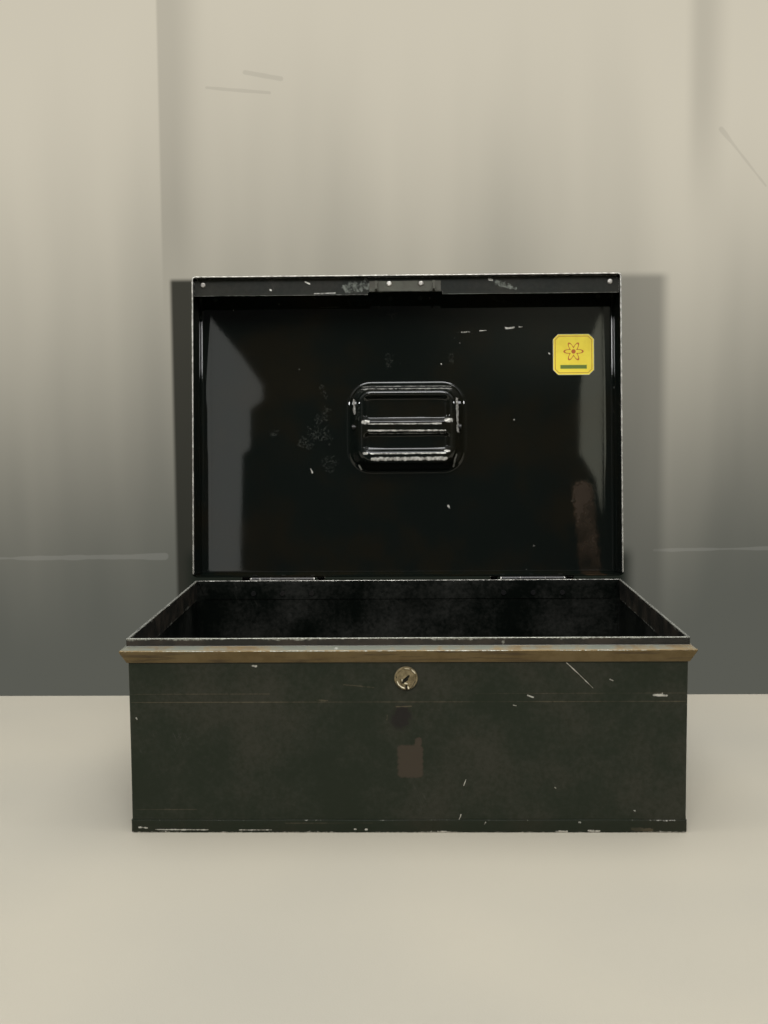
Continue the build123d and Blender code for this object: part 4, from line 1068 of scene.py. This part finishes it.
def hem_rows():
    """The hem round the open edge: the sheet is turned through a half circle of its own thickness, out and
    up round the front and sides, in and up at the back. Each row is the wall's foot moved along its facing
    and up from the open edge."""
    foot, normal = outer[-1][:, :2], lid_pattern[2:].T
    front, rear = (1 - back)[:, None], back[:, None]
    made = []

    def add_row(out, lift):
        made.append(np.concatenate([foot + normal * out, (open_edge + lift)[:, None]], axis=1))

    for out, up in hem_leg:
        add_row(out * front, np.where(back < 0.5, up, 0.9 + 0.02 * up))
    for turn in np.linspace(0, math.pi, hem_turn_steps):
        add_row(sheet * math.cos(turn) - sheet * rear, sheet - sheet * math.sin(turn))
    for out, up in reversed(hem_leg):
        add_row(-(sheet * front + (sheet + out) * rear), np.where(back > 0.5, up, 0.7 + 0.02 * up))
    return np.array(made)


hem = hem_rows()
shut = np.concatenate([outer, hem, inner[::-1]])
top_rows = len(lid_rows(0)[0])
turn_rows = slice(len(outer) + len(hem_leg), len(outer) + len(hem_leg) + hem_turn_steps)
left = (lid_pattern[0] < -0.5) & (np.abs(lid_pattern[2]) > 0.5)
edge = np.zeros(shut.shape[:2])
edge[len(outer):len(outer) + len(hem)] = 0.45 - 0.25 * back
edge[turn_rows] = 1.25 - 1.1 * back + 0.3 * left
edge[top_rows + 1:top_rows + 5] = 0.32                         # the fold to the walls
edge[floor_rings - 3:floor_rings + 4] = 0.22                   # the recess's lower bend
tint = np.zeros(shut.shape[:2])
tint[:len(outer)] = 1.0                                        # the outside


def recess_highlight(kind, x0, y0, x1, y1, width, uneven):
    """A painted highlight in the recess, as a mark given from the recess's middle."""
    return kind, (x0, y0 + recess_y, 0), (x1, y1 + recess_y, 0), width, uneven


lid_marks = [
    ("smudge", (52, -97.3, 0), (65, -97.5, 0), 1.9, 0.6),
    ("bare", (55, -97.2, 0), (63, -97.4, 0), 0.5, 0.9),
    ("bare", (73, -98.5, 0), (79.5, -98.6, 0), 0.5, 0.8),
    ("bare", (99, -100.8, 0), (107, -101.2, 0), 1.1, 0.6),
    ("bare", (112.4, -101.7, 0), (115, -101.8, 0), 1.1, 0.5),
    ("bare", (40.5, 75, 0), (42, 77.5, 0), 1.0, 0.5),
    ("smudge", (-133, 3, 0), (-130, 1.5, 0), 3.4, 1.0),
    ("smudge", (-84.7, -44.5, 0), (-80.6, -34, 0), 2.0, 1.0),
    ("smudge", (-87.4, -11.4, 0), (-80.7, -18.2, 0), 4.4, 1.0),
    ("smudge", (-92, 3, 0), (-81, 4, 0), 6.5, 1.0),
    ("smudge", (-103, 12, 0), (-95, 12, 0), 5.0, 1.0),
    ("smudge", (-79, 31, 0), (-76, 34, 0), 6.0, 1.0),
    ("smudge", (-16, -74, 0), (-17, -64, 0), 3.0, 1.0),
    ("smudge", (44, -75, 0), (46, -68, 0), 2.4, 1.0),
    ("bare", (-95.5, 37.8, 0), (-94.2, 41.5, 0), 0.8, 0.5),
    ("bare", (-47.3, 34.8, 0), (-45.2, 38.4, 0), 0.8, 0.4),
    ("bare", (34.5, -65.8, 0), (34.9, -65.4, 0), 0.7, 0.4),
    ("bare", (106.5, -9.8, 0), (106.9, -9.5, 0), 0.6, 0.4),
    ("bare", (141.6, -75.6, 0), (142, -74.8, 0), 0.7, 0.4),
    ("rust", (174, 62, 0), (181, 140, 0), 13.0, 0.2),
    # painted highlights in the recess: the bare lines and spots lie where its folds, ribs and corners catch
    # the lamps, and the smudges paint a pale sheen on its shoulders
    recess_highlight("smudge", -46, -36, 46, -36, 3.4, 0.35),
    recess_highlight("smudge", -50, -22, -48, -8, 3.0, 0.5),
    recess_highlight("bare", -44, -40.4, 44, -40.4, 0.35, 0.7),
    recess_highlight("bare", -44, -37.4, 44, -37.4, 0.55, 0.9),
    recess_highlight("bare", -37, -2.6, 34, -2.6, 0.8, 0.5),
    recess_highlight("bare", -38, 4.0, 38, 4.2, 0.9, 0.4),
    recess_highlight("bare", -37, 6.8, 38, 6.8, 0.40, 0.6),
    recess_highlight("bare", -35, 26.8, 38, 26.5, 0.7, 0.5),
    recess_highlight("bare", -34, 32.0, 38, 31.6, 2.0, 0.40),
    recess_highlight("bare", 49.8, -27, 50.6, 5, 1.4, 0.6),
    recess_highlight("bare", -52, -27, -51.6, -14, 1.3, 0.5),
    recess_highlight("bare", -42.4, -4.6, -38.5, -4.4, 2.4, 0.4),
    recess_highlight("bare", 38.5, -6.0, 43.5, -5.4, 2.3, 0.5),
    recess_highlight("bare", -42, 26.2, -39.5, 26.4, 1.6, 0.5),
    recess_highlight("bare", 38, 24, 41.5, 24.4, 1.3, 0.5),
    recess_highlight("bare", 49, 28, 46, 39, 0.9, 0.6),
]
lid_black = (0.0042, 0.0060, 0.0048)
dull_wall = 5.2                # the back wall's inside is dull, and so is the top this near to it
lid_material = japan("japan_lid", lid_black, 0.030, second=outside_black, edge_amount=1.10,
                     chip_amount=0.002, hair_amount=-0.16, dust=0.06, haze=0.06, marks=lid_marks,
                     flat=(1.0, 1.0, 0.0), wave=0.05, dull_behind=lid_back_y - dull_wall)
skin("lid_tray_pressed", swung(shut), "lid", "lid_tray", lid_material,
     wrap_rows=False, poles=True, edge=edge, shut=shut, tint=tint)

# ------------------------------------------------------------------------- fittings kept as built
# Rail, link plate, rivets, hinges, handle, lock: each keeps its construction mesh and takes the
# finish of the real piece.


painted_highlight_tone = (0.88, 0.82, 0.62)
painted_shade_tone = (0.010, 0.008, 0.005)


def brushed(name, light, dark, rust, metallic, rough, rusting, pitch=60.0, marks=()):
    """Bare or lightly lacquered metal: two tones in blotches, rust that gathers in patches, fine grain, and
    marks seen from the front: painted highlights and painted shade."""
    material, tree, surface = new_material(name)
    place = wire(tree, "TexCoord").outputs["Object"]
    mottle = noise(place, pitch, 5.0, 0.65)
    grain = noise(place, 900.0, 3.0, 0.7)
    hair = place_group(tree, hairs, {"Place": place, "Turn": 0.9, "Amount": 0.5})["Mask"]
    tone = mixed(rise(mottle, 0.35, 0.65), dark, light)
    tone = mixed(times(hair, 0.35), tone, light)
    rust_start = 0.72 - rusting * 0.4
    rusty = rise(plus(times(mottle, 0.7), times(grain, 0.3)), rust_start, rust_start + 0.1)
    tone = mixed(rusty, tone, rust)
    # painted highlights and painted shade, marked from the front
    if marks:
        flattened = combine("MULTIPLY", place, front_view)
        tone = mixed(marked(flattened, mottle, marks, "painted_highlight"), tone, painted_highlight_tone)
        tone = mixed(marked(flattened, mottle, marks, "painted_shade"), tone, painted_shade_tone)
    height = plus(grain, times(rusty, 1.5))
    bump = wire(tree, "Bump", {"Height": height, "Strength": 0.35, "Distance": 0.12 * millimetre})
    shader = wire(tree, "BsdfPrincipled", {
        "Base Color": tone,
        "Roughness": plus(rough, plus(times(rusty, 0.35), times(grain, 0.12))),
        "Metallic": times(minus(1.0, rusty), metallic),
        "Normal": bump.outputs[0],
    })
    tree.links.new(shader.outputs[0], surface)
    return material


def finish_nodes(material, *names):
    """Gives construction nodes this material in every slot."""
    for name in names:
        mesh = frame["nodes"][name].data
        mesh.materials.clear()
        mesh.materials.append(material)


rail_marks = [
    ("worn", (88, 0, 428.5), (98, 0, 425.5), 2.6, 0.5),
    ("worn", (98, 0, 424.0), (105, 0, 422.5), 1.6, 0.5),
    ("worn", (-56, 0, 425.0), (-38, 0, 426.5), 4.5, 1.0),
    ("bare", (-97, 0, 431.0), (-93, 0, 429.0), 0.8, 0.5),
    ("bare", (-88, 0, 419.6), (-68, 0, 419.9), 0.4, 0.8),
    ("bare", (80, 0, 431.8), (83, 0, 431.0), 1.3, 0.5),
    ("bare", (-131, 0, 423.5), (-130, 0, 423.0), 0.8, 0.5),
]
rail_black = (0.0050, 0.0075, 0.0050)
rivet_black = (0.006, 0.006, 0.006)
leaf_black = (0.010, 0.010, 0.010)
rail_material = japan("japan_rail", rail_black, 0.40, edge_amount=0.62, chip_amount=0.02, hair_amount=0.05,
                      dust=0.5, marks=rail_marks, flat=front_view, on_skin=False, wave=0.3, shine=0.2)
dark_rivet_material = japan("japan_leaf_rivets", rivet_black, 0.34, edge_amount=0.2, on_skin=False)
leaf_material = japan("japan_hinges", leaf_black, 0.32, edge_amount=0.80, chip_amount=0.05, hair_amount=0.1,
                      dust=0.6, on_skin=False)
plate_material = brushed("rusty_plate", light=(0.068, 0.071, 0.052), dark=(0.050, 0.046, 0.034),
                         rust=(0.090, 0.062, 0.043), metallic=0.30, rough=0.45, rusting=0.30)
steel_material = brushed("dull_steel", light=(0.42, 0.41, 0.38), dark=(0.22, 0.21, 0.19),
                         rust=(0.12, 0.065, 0.035), metallic=0.85, rough=0.36, rusting=0.2)
rivet_material = brushed("rivet_tin", light=(0.62, 0.60, 0.55), dark=(0.34, 0.32, 0.29),
                         rust=(0.15, 0.085, 0.05), metallic=0.85, rough=0.30, rusting=0.15)
wire_material = brushed("handle_wire", light=(0.030, 0.029, 0.027), dark=(0.018, 0.017, 0.016),
                        rust=(0.10, 0.055, 0.03), metallic=0.15, rough=0.30, rusting=0.12)

# marks on the lock's face and plug, painted light: painted highlights on the ring's slopes and the edges of
# the keyway and notch, painted shade in the keyway, the notch and the grooves. Each is kind, x and z of two
# points from the plug's middle, width, raggedness
lock_x, lock_z = -0.7, 115.2
lock_painted_light = [
    ("painted_highlight", 4.2, 6.4, 6.4, 3.9, 0.50, 0.3), ("painted_highlight", -0.7, 7.3, 2.2, 6.9, 0.45, 0.5),
    ("painted_highlight", -6.3, -2.4, -5.2, -4.7, 0.40, 0.3), ("painted_highlight", -5.2, -4.7, -2.8, -6.6, 0.42, 0.3),
    ("painted_highlight", -2.8, -6.6, -1.2, -7.2, 0.40, 0.4), ("painted_highlight", -2.8, -1.0, -2.7, -1.9, 0.45, 0.3),
    ("painted_highlight", -0.8, -3.6, 0.7, -3.9, 0.50, 0.6), ("painted_highlight", 1.4, -6.0, 2.1, -7.8, 0.38, 0.5),
    ("painted_shade", -2.6, -3.2, 0.8, -0.9, 1.00, 0.1), ("painted_shade", 0.8, -0.9, 2.2, 1.2, 0.40, 0.5),
    ("painted_shade", 0.1, -5.2, 0.3, -8.3, 0.85, 0.1),
    ("painted_shade", -7.0, 1.5, -6.9, 0.3, 0.28, 0.5), ("painted_shade", -7.0, -3.4, -5.9, -5.4, 0.25, 0.5),
    ("painted_shade", -5.9, -5.4, -3.4, -7.4, 0.25, 0.5), ("painted_shade", 6.7, -2.0, 5.2, -5.2, 0.28, 0.6),
    ("painted_shade", 5.2, -5.2, 2.9, -7.4, 0.30, 0.6), ("painted_shade", -4.2, -0.3, -4.0, -3.0, 0.25, 0.7),
    ("painted_shade", -4.0, -3.0, -2.6, -5.6, 0.30, 0.6), ("painted_shade", 4.9, 4.7, 6.2, 3.2, 0.20, 0.6),
]
lock_marks = [
    (kind, (lock_x + x0, 0, lock_z + z0), (lock_x + x1, 0, lock_z + z1), width, uneven)
    for kind, x0, z0, x1, z1, width, uneven in lock_painted_light
]
brass_material = brushed("old_brass", light=(0.30, 0.245, 0.140), dark=(0.15, 0.118, 0.062),
                         rust=(0.10, 0.072, 0.036), metallic=0.55, rough=0.36, rusting=0.25, pitch=260.0,
                         marks=lock_marks)
finish_nodes(rail_material, "front_rail")
finish_nodes(plate_material, "link_plate")
finish_nodes(rivet_material, "link_rivets", "rail_rivets")
finish_nodes(leaf_material, "hinge_left_body_leaf", "hinge_left_lid_leaf", "hinge_right_body_leaf",
             "hinge_right_lid_leaf")
finish_nodes(dark_rivet_material, "hinge_body_rivets", "hinge_lid_rivets")
finish_nodes(steel_material, "hinge_left_pin", "hinge_right_pin", "lock_case", "lock_cover",
             "lock_cover_screws", "bolt_studs", "lock_cam", "wafer_springs", "barrel_nut", "barrel_spacer")
finish_nodes(brass_material, "lock_barrel", "lock_plug", "lock_wafers", "lock_bolt")
finish_nodes(wire_material, "handle_bail")

# ------------------------------------------------------------------------- label
# A small square of glazed yellow paper with cut corners, stuck inside the lid near the right front
# corner. Its print is plain: a thin red frame, a green band and a ring of red petals.
label_low, label_high = node_box("lid_label")
label_middle = (label_low + label_high) / 2
label_half = 20.25             # millimetres, as the rest of the label's sizes
corner_cut = 5.0
frame_inset = 2.2
ring_middle, ring_radius, petal_depth, petal_count, dot_radius = 3.0, 6.6, 2.6, 6.0, 2.4
band_height, band_half_width, band_half_height = 12.2, 13.2, 2.0
paper_yellow = (0.98, 0.80, 0.075)
paper_amber = (0.90, 0.70, 0.060)
paper_edge = (0.70, 0.66, 0.52)
frame_red = (0.42, 0.12, 0.03)
petal_red = (0.48, 0.055, 0.02)
band_green = (0.05, 0.15, 0.035)

label_material, tree, surface = new_material("label_paper")
place = wire(tree, "TexCoord").outputs["Object"]
x, _, z = coordinates(combine("SUBTRACT", place, tuple(label_middle * millimetre)))
across, upwards = reckon("DIVIDE", x, millimetre), reckon("DIVIDE", z, millimetre)
from_side = minus(label_half, most(absolute(across), absolute(upwards)))
corner_way = plus(absolute(across), absolute(upwards))
from_corner = times(minus(2 * label_half - corner_cut, corner_way), 0.707)
inset = reckon("MINIMUM", from_side, from_corner)
line = rise(absolute(minus(inset, frame_inset)), 0.45, 0.15)
# the ring's radius swings with the turn round its middle, which makes the petals
above_ring = minus(upwards, ring_middle)
distance = reckon("SQRT", plus(reckon("POWER", across, 2.0), reckon("POWER", above_ring, 2.0)))
turn = reckon("ARCTAN2", above_ring, across)
petal = plus(ring_radius, times(reckon("COSINE", times(turn, petal_count)), petal_depth))
ring = rise(absolute(minus(distance, petal)), 1.0, 0.6)
dot = rise(distance, dot_radius, dot_radius - 0.5)
in_band = rise(absolute(plus(upwards, band_height)), band_half_height, band_half_height - 0.3)
band = times(in_band, rise(absolute(across), band_half_width, band_half_width - 0.3))
fibre = noise(place, 700.0, 4.0)
tone = mixed(rise(noise(place, 90.0, 4.0), 0.35, 0.75), paper_yellow, paper_amber)
tone = mixed(times(line, 0.8), tone, frame_red)
tone = mixed(times(most(ring, dot), 0.9), tone, petal_red)
tone = mixed(times(band, 0.9), tone, band_green)
tone = mixed(rise(plus(inset, times(fibre, 1.2)), 1.25, 0.75), tone, paper_edge)
bump = wire(tree, "Bump", {"Height": fibre, "Strength": 0.2, "Distance": 0.05 * millimetre})
shader = wire(tree, "BsdfPrincipled", {
    "Base Color": tone, "Roughness": 0.32, "Normal": bump.outputs[0]
})
tree.links.new(shader.outputs[0], surface)
finish_nodes(label_material, "lid_label")
